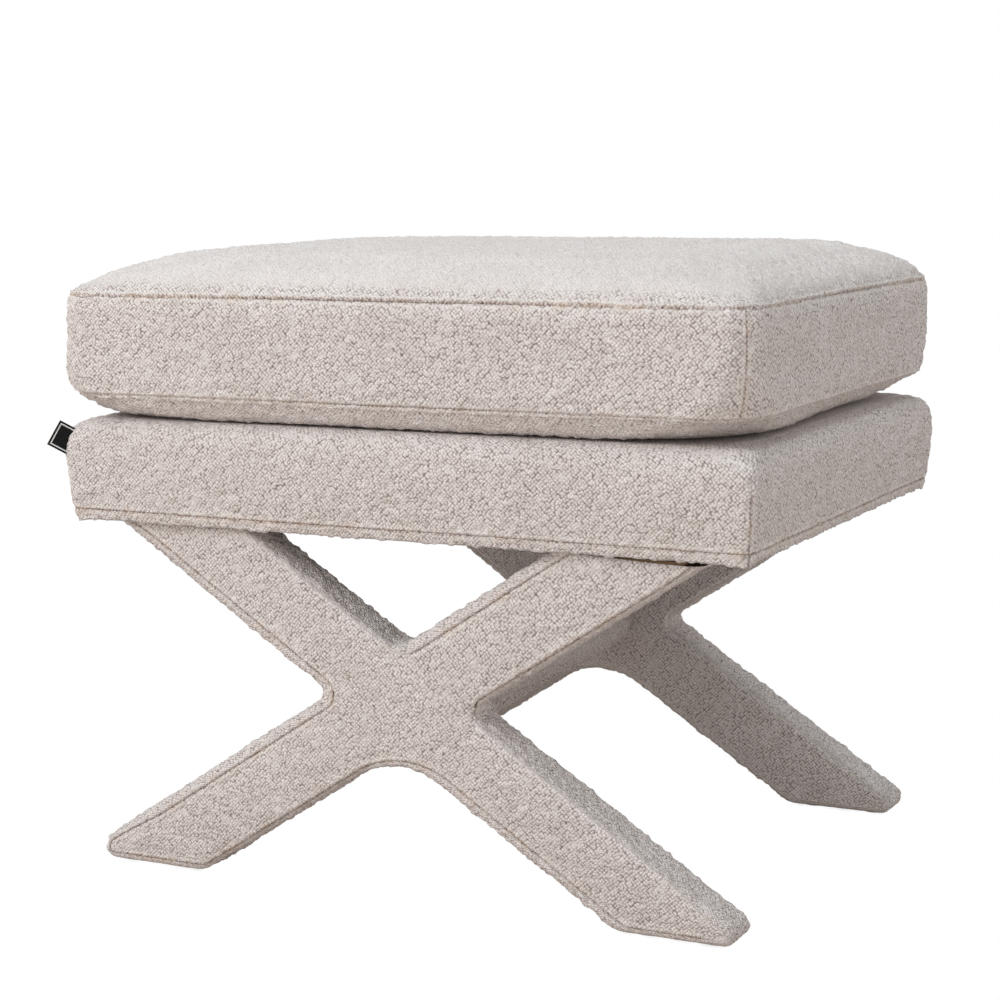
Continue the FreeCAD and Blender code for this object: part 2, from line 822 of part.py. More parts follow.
def zip_slider(middle_x):
    outside = cushion_half_depth - cloth + 2 * coil_radius + slider_clearance
    half = slider_length / 2
    low = (middle_x - half, outside, zip_level - slider_height / 2)
    high = (middle_x + half, outside + slider_plate, zip_level + slider_height / 2)
    body = box(low, high)
    flange_in = coil_spacing / 2 + coil_radius + slider_clearance / 2
    for side in (-1, 1):
        near = zip_level + side * flange_in
        far = near + side * slider_flange
        low = (middle_x - half, outside - slider_flange_depth, min(near, far))
        high = (middle_x + half, outside, max(near, far))
        body = body.fuse(box(low, high))
    face = outside + slider_plate
    for side in (-1, 1):
        near = middle_x + side * ear_gap / 2
        far = near + side * ear_thickness
        low = (min(near, far), face, zip_level - ear_height / 2)
        high = (max(near, far), face + ear_height, zip_level + ear_height / 2)
        body = body.fuse(box(low, high))
    reach = ear_gap / 2 + ear_thickness
    start = Vector(middle_x - reach, face + pin_stand_off, zip_level)
    return body.fuse(Part.makeCylinder(pin_radius, 2 * reach, start, Vector(1, 0, 0)))


def zip_pull(middle_x):
    """The pull hangs down from the pin between the slider's ears."""
    coil_top = cushion_half_depth - cloth + 2 * coil_radius
    outside = coil_top + slider_clearance + slider_plate
    pin_y = outside + pin_stand_off
    across = Vector(1, 0, 0)
    start = Vector(middle_x - pull_eye_width / 2, pin_y, zip_level)
    eye = Part.makeCylinder(pull_eye_radius, pull_eye_width, start, across)
    neck_end = zip_level - pull_neck_length
    low = (middle_x - pull_eye_width / 2, pin_y - pull_thickness / 2, neck_end)
    high = (middle_x + pull_eye_width / 2, pin_y + pull_thickness / 2, zip_level)
    neck = box(low, high)
    low = (middle_x - pull_width / 2, pin_y - pull_thickness / 2, zip_level - pull_length)
    high = (middle_x + pull_width / 2, pin_y + pull_thickness / 2, neck_end)
    blade = box(low, high)
    upright = [edge for edge in blade.Edges if edge.BoundBox.YLength > pull_thickness / 2]
    blade = blade.makeFillet(pull_round, upright)
    bore = Part.makeCylinder(pin_radius + pin_running_clearance, pull_eye_width, start, across)
    return eye.fuse(neck).fuse(blade).cut(bore)


def make_zip():
    half = zip_length / 2
    tape_region = box(
        (-half, 0, zip_level - zip_tape_width),
        (half, stool_depth, zip_level + zip_tape_width),
    )
    gap = box(
        (-half, 0, zip_level - zip_tape_gap / 2),
        (half, stool_depth, zip_level + zip_tape_gap / 2),
    )
    tape = boxing_form(tape_outside).cut(boxing_form(tape_outside + zip_tape_thickness))
    save("zip_tapes", tape.common(tape_region).cut(gap))
    depth = cushion_half_depth - cloth + coil_radius
    coils = []
    for side in (-1, 1):
        start = Vector(-half, depth, zip_level + side * coil_spacing / 2)
        coils.append(Part.makeCylinder(coil_radius, zip_length, start, Vector(1, 0, 0)))
    stops = []
    for side in (-1, 1):
        near = side * half
        far = side * (half - zip_stop_length)
        reach = coil_spacing / 2 + coil_radius
        low = (min(near, far), depth - coil_radius, zip_level - reach)
        high = (max(near, far), depth + coil_radius, zip_level + reach)
        stops.append(box(low, high))
    save("zip_coils", joined(coils).cut(joined(stops)))
    save("zip_stops", joined(stops))
    closed_x = -half + zip_stop_length + slider_length / 2 + clearance
    save("zip_slider", zip_slider(closed_x))
    save("zip_pull", zip_pull(closed_x))


def make_cushion():
    whole = cushion_form(0)
    save("cushion_top_panel", crown_form(0).cut(crown_form(cloth)))
    save("cushion_bottom_panel", base_form(0).cut(base_form(cloth)))
    boxing = boxing_form(0).cut(boxing_form(cloth))
    for side in ("front", "left", "right"):
        save("cushion_boxing_" + side, boxing.common(side_sector(side)))
    rear = boxing.common(side_sector("rear"))
    half_slot = zip_slot_height / 2
    slot = box(
        (-zip_length / 2, 0, zip_level - half_slot),
        (zip_length / 2, stool_depth, zip_level + half_slot),
    )
    rear = rear.cut(slot)
    save("cushion_boxing_rear_lower", rear.common(level_box(bottom_seam, zip_level)))
    save("cushion_boxing_rear_upper", rear.common(level_box(zip_level, top_seam)))
    save("cushion_top_welt", welt(1, whole))
    save("cushion_bottom_welt", welt(0, whole))
    filling = cushion_form(filling_outside)
    core = cushion_form(filling_outside + cushion_wrap)
    save("cushion_foam", core)
    wrap = filling.cut(core)
    top_level = top_seam + cushion_crown
    save("cushion_fibre_top", wrap.common(level_box(zip_level, top_level)))
    save("cushion_fibre_bottom", wrap.common(level_box(cushion_bottom, zip_level)))
    make_zip()


make_base()
make_deck()
make_cushion()
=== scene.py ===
import math

import bpy
import numpy as np
from mathutils import Matrix, Vector


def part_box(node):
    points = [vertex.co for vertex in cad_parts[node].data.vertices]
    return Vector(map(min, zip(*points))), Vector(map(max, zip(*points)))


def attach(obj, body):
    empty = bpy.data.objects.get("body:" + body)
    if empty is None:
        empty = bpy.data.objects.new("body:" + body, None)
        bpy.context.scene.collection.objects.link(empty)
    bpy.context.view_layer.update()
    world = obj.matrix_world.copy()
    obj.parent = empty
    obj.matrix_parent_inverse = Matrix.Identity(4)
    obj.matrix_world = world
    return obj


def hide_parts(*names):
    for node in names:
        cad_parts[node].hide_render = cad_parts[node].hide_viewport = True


# The visible looks of the cross-leg stool: its boucle covers with their seams, built in
# millimetres in the frame's own axes, then the materials, the light and the camera.

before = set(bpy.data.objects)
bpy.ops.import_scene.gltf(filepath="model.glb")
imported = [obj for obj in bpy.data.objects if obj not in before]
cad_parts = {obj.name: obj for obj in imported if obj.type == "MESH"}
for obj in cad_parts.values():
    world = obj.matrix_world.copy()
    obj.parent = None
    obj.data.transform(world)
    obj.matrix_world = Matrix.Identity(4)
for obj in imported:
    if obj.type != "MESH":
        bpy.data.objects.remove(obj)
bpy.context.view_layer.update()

MM = 0.001
STEP = 1.9  # distance between the points of a cover
NUB = 2.45  # distance between two nubs of the boucle

# Sizes that the covers share with the frame
DECK_BOTTOM = 292.5
DECK_HALF = (301.6, 230.8)
DECK_FLARE = 6.5
DECK_SIDE = 54.5
DECK_ROLL = (30.0, 22.0)
DECK_CORNER = 8.0
DECK_TOP_CORNER = 60.0
DECK_TOP = DECK_BOTTOM + DECK_SIDE + DECK_ROLL[0]
DECK_BAND = 9.5
BAND_TURN = 1.4
BAND_LIFT = 0.8
BAND_DROOP = 5.0
DECK_SIDE_ROWS = [(0.0, 0.0), (0.22, 0.5), (0.5, 0.8), (1.0, 1.0)]
DECK_ROLL_ROWS = [(0.0, 0.0), (0.35, 0.015), (0.6, 0.075), (0.8, 0.2), (0.93, 0.43), (1.0, 1.0)]

CROSS_HEIGHT = 164.5
ARM_ANGLE = math.radians(33.2)
ARM_WIDTH = 67.0
CROSS_THICKNESS = 40.0
CROSS_MIDDLE = 197.5
TOE_WALL = 17.7
TOP_CROTCH = 20.0
SIDE_CROTCH = 8.0
BOTTOM_CROTCH = 72.0
TOE_RADIUS = 14.0
TOE_BOTTOM_RADIUS = 10.0
HEEL_RADIUS = 18.0
SOFT_EDGE = 6.5
FOOT_LEVEL = 2.0
TOE_REACH = ARM_WIDTH / 2 / math.sin(ARM_ANGLE) + (CROSS_HEIGHT - FOOT_LEVEL - TOE_WALL) / math.tan(ARM_ANGLE)
STRETCHER_RADIUS = 34.0

CUSHION_HALF = (304.8, 231.5)
CUSHION_BULGE = 2.6
CUSHION_DRAW = 2.5
CUSHION_CORNER = 30.0
CUSHION_LOW_CORNER = 54.0
CUSHION_SHIFT = -2.7
CUSHION_BASE_CORNER = 150.0
BOTTOM_SEAM = 398.0
TOP_SEAM = 478.5
CUSHION_ROLL = (20.7, 26.0)
CUSHION_CROWN = 33.7
CROWN_ROWS = [
    (0.0, 1.0, 0.0),
    (0.3, 0.974, 0.016),
    (0.6, 0.92, 0.13),
    (0.82, 0.844, 0.33),
    (0.94, 0.739, 0.5),
    (0.985, 0.622, 0.57),
    (1.0, 0.42, 0.6),
]
BASE_ROWS = [(0.0, 0.0), (0.25, 0.13), (0.5, 0.27), (0.75, 0.43), (0.92, 0.64), (1.0, 1.0)]
ZIP_LEVEL = (BOTTOM_SEAM + TOP_SEAM) / 2
ZIP_HALF = 235.0
ZIP_SLOT = 4.2
TAPE_END = 6.5
TAG_HEIGHT = 365.6
TAG_TILT = math.radians(30.5)
TAG_WIDTH = 22.5
TAG_COLUMNS = 36

LATTICE = np.random.default_rng(7).uniform(-1, 1, (32, 32, 32))


# Numbers and grids


def eased(share):
    """A smooth step from 0 to 1."""
    share = np.clip(share, 0, 1)
    return share * share * (3 - 2 * share)


def blended(field, cell, part):
    """The values of a grid field between the eight cells round each place."""
    total = np.zeros(len(cell))
    for corner in np.ndindex(2, 2, 2):
        weight = np.where(corner, part, 1 - part).prod(axis=1)
        total += weight * field[tuple(((cell + corner) % field.shape).T)]
    return total


def lumps(points, wavelength, seed=0):
    """Smooth noise between about -1 and 1 at points in millimetres."""
    place = points / wavelength + 7.31 * seed
    cell = np.floor(place).astype(int)
    return blended(LATTICE, cell, eased(place - cell))


def swelling(plan, height, place, reach):
    """A smooth rise round one place of a plan."""
    return height * np.exp(-(((plan - place) / reach) ** 2).sum(axis=1))


def rounded_table(rows, turns=3):
    """The rows of a table with their corners cut, so that a form made from it is smooth."""
    rows = np.array(rows, float)
    for _ in range(turns):
        first, second = rows[:-1], rows[1:]
        cut = np.stack([0.75 * first + 0.25 * second, 0.25 * first + 0.75 * second], axis=1)
        rows = np.concatenate([rows[:1], cut.reshape(-1, rows.shape[1]), rows[-1:]])
    return rows


def read_table(rows, share):
    """The table's row at a share of its length."""
    index = np.linspace(0, 1, len(rows))
    return [np.interp(share, index, rows[:, column]) for column in range(rows.shape[1])]


RAMP = np.array([0.0, 0.35, 0.9, 1.6, 2.5, 3.7])


def stations(length, step=STEP, start=True, end=True):
    """Distances from 0 to length, closer together next to a seam."""
    lead = RAMP if start else RAMP[:1]
    tail = length - (RAMP[::-1] if end else RAMP[:1])
    count = max(int(round((tail[0] - lead[-1]) / step)), 1)
    return np.concatenate([lead, np.linspace(lead[-1], tail[0], count + 1)[1:-1], tail])


def placed(x, y, z):
    """Points from their coordinates, each of which may be one number for all of them."""
    return np.stack(np.broadcast_arrays(x, y, z), axis=-1).astype(float).reshape(-1, 3)


def spread(start, end, share):
    """Places between two others, at shares of the way."""
    return np.multiply.outer(1 - share, start) + np.multiply.outer(share, end)


def run_along(line):
    """How far each point of a line is from its start, along the line."""
    return np.concatenate([[0.0], np.cumsum(np.linalg.norm(np.diff(line, axis=0), axis=1))])


def grid_quads(rows, columns, first=0):
    """The faces of a grid whose points are stored row by row."""
    row, column = np.meshgrid(np.arange(rows - 1), np.arange(columns - 1), indexing="ij")
    corner = (first + row * columns + column).ravel()
    return np.stack([corner, corner + 1, corner + columns + 1, corner + columns], axis=1)


def normals_of(points, quads):
    face = np.cross(points[quads[:, 2]] - points[quads[:, 0]], points[quads[:, 3]] - points[quads[:, 1]])
    normals = np.zeros_like(points)
    for axis in range(3):
        for corner in range(4):
            normals[:, axis] += np.bincount(quads[:, corner], face[:, axis], len(points))
    return normals / np.maximum(np.linalg.norm(normals, axis=1, keepdims=True), 1e-9)


def side_path(half_x, half_y, radius, draw, shares):
    """Points along the side towards -Y of a rounded rectangle, from corner middle to corner middle."""
    arc = max(radius * math.pi / 4, 1e-6)
    straight = 2 * (half_x - radius)
    run = shares * (2 * arc + straight)
    near = np.minimum(run, 2 * arc + straight - run)
    turn = np.radians(225) + np.clip(near / arc, 0, 1) * np.pi / 4
    in_arc = near < arc
    sign = np.where(run <= arc + straight / 2, 1, -1)
    arc_x = sign * (radius - half_x + radius * np.cos(turn))
    arc_y = radius - half_y + radius * np.sin(turn)
    line_x = radius - half_x + (run - arc)
    reach = max(half_x - radius, 1e-6)
    line_y = -half_y + draw * (1 - (line_x / reach) ** 2)
    return np.where(in_arc, arc_x, line_x), np.where(in_arc, arc_y, line_y)


def turned(x, y, turns):
    """A point on the side towards -Y, taken round to the side that is so many turns on."""
    return [(x, y), (-y, x), (-x, -y), (y, -x)][turns]


def side_grid(levels, side, columns):
    """A strip of cover on one side: each level is (z, half_x, half_y, radius, draw)."""
    rows = []
    for level, half_x, half_y, radius, draw in levels:
        sizes = (half_x, half_y) if side % 2 == 0 else (half_y, half_x)
        x, y = side_path(sizes[0], sizes[1], radius, draw, columns)
        rows.append(placed(*turned(x, y, side), level))
    return np.concatenate(rows)


def ring_grid(half_x, half_y, radius, draw, insets):
    """A rectangular grid whose rings are rounded rectangles, with the inset of each point."""
    across = 2 * (len(insets) - 1)
    along = across + int(round(2 * (half_x - half_y) / STEP))
    points = np.zeros((along + 1, across + 1, 2))
    ring = np.zeros((along + 1, across + 1), int)
    for k, inset in enumerate(insets):
        scale = 1 - inset / half_y
        sizes = (half_x - inset, max(half_y - inset, 0.0))
        for side in range(4):
            count = (along if side % 2 == 0 else across) - 2 * k
            step = np.arange(count + 1)
            shares = step / max(count, 1)
            own = sizes if side % 2 == 0 else sizes[::-1]
            x, y = side_path(own[0], own[1], min(radius * scale, own[0], own[1]), draw * scale, shares)
            x, y = turned(x, y, side)
            i = (k + step, along - k + 0 * step, along - k - step, k + 0 * step)[side]
            j = (k + 0 * step, k + step, across - k + 0 * step, across - k - step)[side]
            points[i, j] = np.stack([x, y], axis=1)
            ring[i, j] = k
    return points.reshape(-1, 2), ring.ravel(), along + 1, across + 1


def height_over(points, rows, base, rise, outline):
    """The height at each plan point of a form whose rising outlines are nested in each other."""
    x, y = np.abs(points).T
    low, high = np.zeros(len(x)), np.ones(len(x))
    for _ in range(22):
        middle = (low + high) / 2
        half_x, half_y, radius, draw = outline(read_table(rows, middle))
        over_x = x - half_x + radius + draw * (1 - np.minimum(y / half_y, 1) ** 2)
        over_y = y - half_y + radius + draw * (1 - np.minimum(x / half_x, 1) ** 2)
        outside = np.hypot(np.maximum(over_x, 0), np.maximum(over_y, 0))
        away = outside + np.minimum(np.maximum(over_x, over_y), 0) - radius
        low = np.where(away < 0, middle, low)
        high = np.where(away < 0, high, middle)
    return base + rise * read_table(rows, (low + high) / 2)[0]


# Covers


def folded(seam, fold=1.4, ridge=0.0, ridge_at=2.6, ridge_width=1.5, draw=0.0):
    """How far the cloth stands out next to a seam, where its edge turns in."""
    near = np.clip(seam / fold, 0, 1)
    depth = fold * (1 - np.sqrt(np.clip(1 - (1 - near) ** 2, 0, 1)))
    standing = ridge * np.exp(-(((seam - ridge_at) / ridge_width) ** 2))
    return -depth + standing - draw * np.exp(-((seam / 6) ** 2))


def fuzz(points, seam, soft=0.45):
    """The unevenness of the nubs, and the slow one of the padding under them."""
    nubs = (0.9 * lumps(points, 2.6, 1) + 1.0 * lumps(points, 4.7, 2)) * np.clip(seam / 2.5, 0.4, 1)
    return 0.3 + nubs + soft * lumps(points, 46, 3) + 0.4 * soft * lumps(points, 15, 4)


def raised(points, quads, lift):
    """The points moved outwards by their lifts."""
    return points + normals_of(points, quads) * lift[:, None]


def piece(name, points, quads, body, seam=None, weave=None, extra=None):
    """A cover as an object of the frame, from points in millimetres. Its weave is in millimetres too."""
    mesh = bpy.data.meshes.new(name)
    mesh.from_pydata(points * MM, [], quads.tolist())
    mesh.update()
    mesh.polygons.foreach_set("use_smooth", np.ones(len(mesh.polygons), bool))
    layers = dict(extra or {})
    if seam is not None:
        layers["seam"] = np.minimum(seam, 30)
    if weave is not None:
        layers["weave"] = np.zeros((len(points), 3))
        layers["weave"][:, : weave.shape[1]] = weave
    for layer, values in layers.items():
        kind, part = ("FLOAT_VECTOR", "vector") if values.ndim == 2 else ("FLOAT", "value")
        mesh.attributes.new(layer, kind, "POINT").data.foreach_set(part, values.astype(np.float32).ravel())
    thing = bpy.data.objects.new(name, mesh)
    bpy.context.scene.collection.objects.link(thing)
    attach(thing, body)
    return thing


def over(columns, rows):
    """The weave of a grid whose points are stored row by row."""
    return np.stack([np.tile(columns, len(rows)), np.repeat(rows, len(columns))], axis=1)


def merged(points, quads):
    """The same faces with each repeated point kept once, and where each kept point was first."""
    kept, first, index = np.unique(np.round(points, 3), axis=0, return_index=True, return_inverse=True)
    return points[first], index.ravel()[quads], first


# The cushion

crown_table = rounded_table(CROWN_ROWS)
base_table = rounded_table(BASE_ROWS)
seam_half = (CUSHION_HALF[0] - CUSHION_BULGE, CUSHION_HALF[1] - CUSHION_BULGE)


def crown_outline(row):
    rise, size, rounding = row
    corner = CUSHION_CORNER * size
    radius = corner + (seam_half[1] * size - corner) * rounding
    return seam_half[0] * size, seam_half[1] * size, radius, CUSHION_DRAW * size


def base_outline(row):
    rise, run = row
    narrower = CUSHION_ROLL[1] * run
    radius = CUSHION_LOW_CORNER + (CUSHION_BASE_CORNER - CUSHION_LOW_CORNER) * run
    return seam_half[0] - narrower, seam_half[1] - narrower, radius, CUSHION_DRAW * (1 - rise)


def crown_height(plan):
    """The top. It is fuller towards the right rear corner and thinner at the left front one."""
    level = height_over(plan, crown_table, TOP_SEAM, CUSHION_CROWN, crown_outline)
    uneven = swelling(plan, 4.2, (250, 178), 66) - swelling(plan, 3.0, (-282, -212), 27)
    return level + uneven * eased((level - TOP_SEAM) / 14)


def base_height(plan):
    """The underside. It rolls up more widely towards the right end, most of all at the back."""
    x, y = plan.T
    wider = np.where(x > 0, 0.95 * eased((y + 225) / 260), 0.0) * eased((np.abs(x) - 60) / 140)
    inset = seam_half[0] - np.abs(x)
    moved = np.sign(x) * (seam_half[0] - inset / (1 + wider))
    return height_over(np.stack([moved, y], axis=1), base_table, BOTTOM_SEAM, -CUSHION_ROLL[0], base_outline)


def boxing_level(share):
    off = (2 * share - 1) ** 4
    narrower = CUSHION_BULGE * off
    level = BOTTOM_SEAM + (TOP_SEAM - BOTTOM_SEAM) * share
    corner = CUSHION_CORNER + (CUSHION_LOW_CORNER - CUSHION_CORNER) * max(1 - share / 0.55, 0) ** 2
    return level, CUSHION_HALF[0] - narrower, CUSHION_HALF[1] - narrower, corner, CUSHION_DRAW * off


def fuller_left(points):
    """The lower corners on the left, which the filling keeps fuller than those on the right."""
    x, y, z = points.T
    away = np.hypot(x + CUSHION_HALF[0], np.abs(y) - CUSHION_HALF[1])
    out = 8.0 * np.exp(-((away / 42) ** 2)) * (1 - eased((z - BOTTOM_SEAM - 2) / 46)) / math.sqrt(2)
    down = 6.8 * np.exp(-((away / 75) ** 2)) * np.clip((BOTTOM_SEAM - z) / 9, 0, 1)
    lowest = np.minimum(BOTTOM_SEAM - CUSHION_ROLL[0], z)
    return placed(x - out, y + np.sign(y) * out, np.maximum(z - down, lowest))


CLOTH = {
    "quality": 5,
    "mass": 0.3,
    "tension_stiffness": 40,
    "compression_stiffness": 40,
    "shear_stiffness": 15,
    "bending_stiffness": 1.2,
    "use_pressure": True,
    "uniform_pressure_force": 4,
}
CLOTH_STEPS = 20
PUFF_CELL = 14.0


def read_points(mesh, what):
    found = np.empty(len(mesh.vertices) * 3)
    mesh.vertices.foreach_get(what, found)
    return found.reshape(-1, 3)


def coarse_cushion():
    """A closed coarse copy of the cushion, as an object of even cells."""
    levels = [boxing_level(s) for s in np.linspace(0, 1, 7)]
    for share in (0.25, 0.5, 0.75, 1.0):
        row = read_table(base_table, share)
        levels.insert(0, (BOTTOM_SEAM - CUSHION_ROLL[0] * row[0], *base_outline(row)))
    for share in np.linspace(0.1, 1, 10):
        row = read_table(crown_table, share)
        levels.append((TOP_SEAM + CUSHION_CROWN * row[0], *crown_outline(row)))
    shares = np.linspace(0, 1, 40)[:-1]
    points = np.concatenate([side_grid([level], side, shares) for level in levels for side in range(4)])
    here = np.arange(len(points)).reshape(len(levels), -1)
    ahead = np.roll(here, -1, axis=1)
    faces = np.stack([here[:-1], ahead[:-1], ahead[1:], here[1:]], axis=2).reshape(-1, 4).tolist()
    mesh = bpy.data.meshes.new("puff")
    mesh.from_pydata(points * MM, [], faces + [here[-1].tolist(), here[0][::-1].tolist()])
    thing = bpy.data.objects.new("puff", mesh)
    bpy.context.scene.collection.objects.link(thing)
    voxels = thing.modifiers.new("voxels", "REMESH")
    voxels.mode = "VOXEL"
    voxels.voxel_size = 9 * MM
    bpy.context.view_layer.objects.active = thing
    bpy.context.view_layer.update()
    graph = bpy.context.evaluated_depsgraph_get()
    coarse = bpy.data.meshes.new_from_object(thing.evaluated_get(graph))
    thing.modifiers.clear()
    thing.data = coarse
    return thing


def puffed_cushion():
    """Fills a coarse copy of the cushion with air, and spreads its change over the cells of a grid."""
    thing = coarse_cushion()
    before, outward = read_points(thing.data, "co"), read_points(thing.data, "normal")
    cloth = thing.modifiers.new("cloth", "CLOTH")
    for key, value in CLOTH.items():
        setattr(cloth.settings, key, value)
    cloth.settings.effector_weights.gravity = 0
    cloth.point_cache.frame_start = 1
    cloth.point_cache.frame_end = CLOTH_STEPS
    scene = bpy.context.scene
    for step in range(1, CLOTH_STEPS + 1):
        scene.frame_set(step)
    graph = bpy.context.evaluated_depsgraph_get()
    after = read_points(thing.evaluated_get(graph).to_mesh(), "co")
    scene.frame_set(1)
    bpy.data.objects.remove(thing)
    moved = np.einsum("ij,ij->i", after - before, outward) / MM
    low = before.min(axis=0) / MM - 3 * PUFF_CELL
    index = np.floor((before / MM - low) / PUFF_CELL).astype(int)
    sums = np.zeros((2, *(index.max(axis=0) + 4)))
    np.add.at(sums[0], tuple(index.T), moved - np.median(moved))
    np.add.at(sums[1], tuple(index.T), 1.0)
    for _ in range(7):
        for axis in (1, 2, 3):
            sums = sums + np.roll(sums, 1, axis) + np.roll(sums, -1, axis)
    return low, sums[0] / np.maximum(sums[1], 1e-9)


puff = puffed_cushion()


def filled(points, share=0.3, cap=1.5):
    """How far the filling pushes each point of the fine cover, as a share of the coarse one's change."""
    if puff is None:
        return np.zeros(len(points))
    low, field = puff
    place = (points - low) / PUFF_CELL - 0.5
    cell = np.clip(np.floor(place).astype(int), 0, np.array(field.shape) - 2)
    return cap * np.tanh(share * blended(field, cell, np.clip(place - cell, 0, 1)) / cap)


def cushion_panel(name, height, flip, ridge):
    """The crowned top or the rolled underside, with its rolled border next to the seam."""
    near = np.array([0.0, 0.22, 0.55, 1.0, 1.55, 2.2, 3.0, 3.9, 4.9, 6.0, 7.2, 8.5, 9.9, 11.4, 13.0])
    rest = seam_half[1] - near[-1]
    count = int(round(rest / STEP))
    insets = np.concatenate([near, near[-1] + rest * np.arange(1, count + 1) / count])
    corner = CUSHION_LOW_CORNER if flip else CUSHION_CORNER
    plan, ring, along, across = ring_grid(seam_half[0], seam_half[1], corner, CUSHION_DRAW, insets)
    points = placed(*plan.T, height(plan))
    line = CUSHION_DRAW * (1 - insets / seam_half[1]) - seam_half[1] + insets
    middle = np.stack([np.zeros(len(insets)), line], axis=1)
    run = run_along(np.stack([insets, height(middle)], axis=1))
    seam = run[ring]
    quads = grid_quads(along, across)[:, ::-1]
    if flip:
        quads = quads[:, ::-1]
    lift = folded(seam, ridge=ridge) + filled(points) * eased(seam / 55) + fuzz(points, seam)
    # How far the material evens out the painted shade between the nubs: fully on the top away from its seam,
    # half as much on the underside.
    pressed = np.clip((seam - 7) / 8, 0, 1)
    if flip:
        resting = np.clip((seam - 34) / 12, 0, 1)
        lift = lift * (1 - resting)
        pressed = 0.5 * pressed
    points = raised(points, quads, lift)
    half_x, half_y = seam_half[0] - insets[ring], seam_half[1] - insets[ring]
    longer = run[-1] - seam - half_y
    weave = plan * np.stack([1 + longer / np.maximum(half_x, 1), 1 + longer / np.maximum(half_y, 1)], axis=1)
    points = fuller_left(points) + (CUSHION_SHIFT, 0, 0)
    return piece(name, points, quads, "cushion", seam + (0.5 if flip else 0), weave, {"pressed": pressed})


def box_side(levels, side, half, corner):
    """One side of a box of cloth: points, faces, columns, and each point's distance to a corner seam."""
    length = 2 * (half[side % 2] - corner) + corner * math.pi / 2
    columns = stations(length)
    along = np.tile(np.minimum(columns, length - columns), len(levels))
    return side_grid(levels, side, columns / length), grid_quads(len(levels), len(columns)), columns, along


def cushion_boxing(name, side, low=0.0, high=1.0, slot=0):
    """One side of the boxing between its two seams and its two corner seams."""
    span = TOP_SEAM - BOTTOM_SEAM
    rows = stations(span * (high - low)) / span + low
    levels = [boxing_level(share) for share in rows]
    points, quads, columns, along = box_side(levels, side, CUSHION_HALF, CUSHION_CORNER)
    down = np.repeat((rows - low) * span, len(columns))
    up = np.repeat((high - rows) * span, len(columns))
    outward = normals_of(points, quads)
    below = folded(down, ridge=0.8) if low == 0 else folded(down, fold=1.2)
    above = folded(up, ridge=0.15, draw=0.7) if high == 1 else folded(up, fold=1.2)
    lift = below + above + folded(along, fold=0.9) + fuzz(points, np.minimum(np.minimum(down, up), along + 1))
    lift = lift + filled(points) * eased(np.minimum(down, up) / 30)
    if slot:
        gap = ZIP_SLOT * np.clip((ZIP_HALF + 6 - np.abs(points[:, 0])) / 6, 0, 1)
        share = np.repeat((rows - low) / (high - low), len(columns))
        points[:, 2] += -gap * share if slot < 0 else gap * (1 - share)
    points = points + outward * lift[:, None]
    points = fuller_left(points) + (CUSHION_SHIFT, 0, 0)
    seam = np.minimum(np.minimum(down + (0.5 if low == 0 else 0), up), along + 0.5)
    return piece(name, points, quads, "cushion", seam, over(columns, rows * span))


crown = cushion_panel("cushion_top_cover", crown_height, False, 1.3)
underside = cushion_panel("cushion_base_cover", base_height, True, 0.9)
cushion_covers = [
    (crown, ["cushion_top_panel", "cushion_top_welt", "cushion_fibre_top", "cushion_foam"]),
    (underside, ["cushion_bottom_panel", "cushion_bottom_welt", "cushion_fibre_bottom"]),
]
BOXING = [("front", 0), ("right", 1), ("left", 3)]
BOXING += [("rear_lower", 2, 0.0, 0.5, -1), ("rear_upper", 2, 0.5, 1.0, 1)]
for word, *place in BOXING:
    cushion_covers.append((cushion_boxing("cushion_%s_cover" % word, *place), ["cushion_boxing_" + word]))


# The deck


def deck_profile():
    """The deck's outside from its bottom seam over its rolled edge, as rows of sizes."""
    rows = []
    side = rounded_table(DECK_SIDE_ROWS, 2)
    roll = rounded_table(DECK_ROLL_ROWS, 3)
    for rise, lean in side:
        rows.append((DECK_BOTTOM + DECK_SIDE * rise, DECK_FLARE * (1 - lean), DECK_CORNER))
    for rise, run in roll[1:]:
        radius = DECK_CORNER + (DECK_TOP_CORNER - DECK_CORNER) * run
        rows.append((DECK_BOTTOM + DECK_SIDE + DECK_ROLL[0] * rise, DECK_ROLL[1] * run, radius))
    return np.array(rows)


deck_rows = deck_profile()


def deck_levels(start, end=None, fine_end=False):
    """The deck's levels at even distances along its outside, from a level upwards."""
    run = run_along(deck_rows[:, :2])
    first = np.interp(start, deck_rows[:, 0], run)
    last = run[-1] if end is None else np.interp(end, deck_rows[:, 0], run)
    at = stations(last - first, end=fine_end)
    rows = [np.interp(first + at, run, deck_rows[:, column]) for column in range(3)]
    return [(z, DECK_HALF[0] - n, DECK_HALF[1] - n, r, 0.0) for z, n, r in zip(*rows)], at


def deck_side(name, side):
    levels, at = deck_levels(DECK_BOTTOM + DECK_BAND)
    points, quads, columns, along = box_side(levels, side, DECK_HALF, DECK_CORNER)
    down = np.repeat(at, len(columns))
    fading = np.clip((368 - points[:, 2]) / 22, 0, 1)
    lift = folded(down, fold=0.8, ridge=0.3) + folded(along, fold=1.0) * fading
    lift = lift + fuzz(points, np.minimum(down, along + 1))
    lift = lift * np.clip((DECK_TOP - points[:, 2]) / 1.5, 0, 1)
    points = raised(points, quads, lift)
    seam = np.minimum(down, along + 0.4 + 30 * (1 - fading))
    return piece(name, points, quads, "base", seam, over(columns, at))


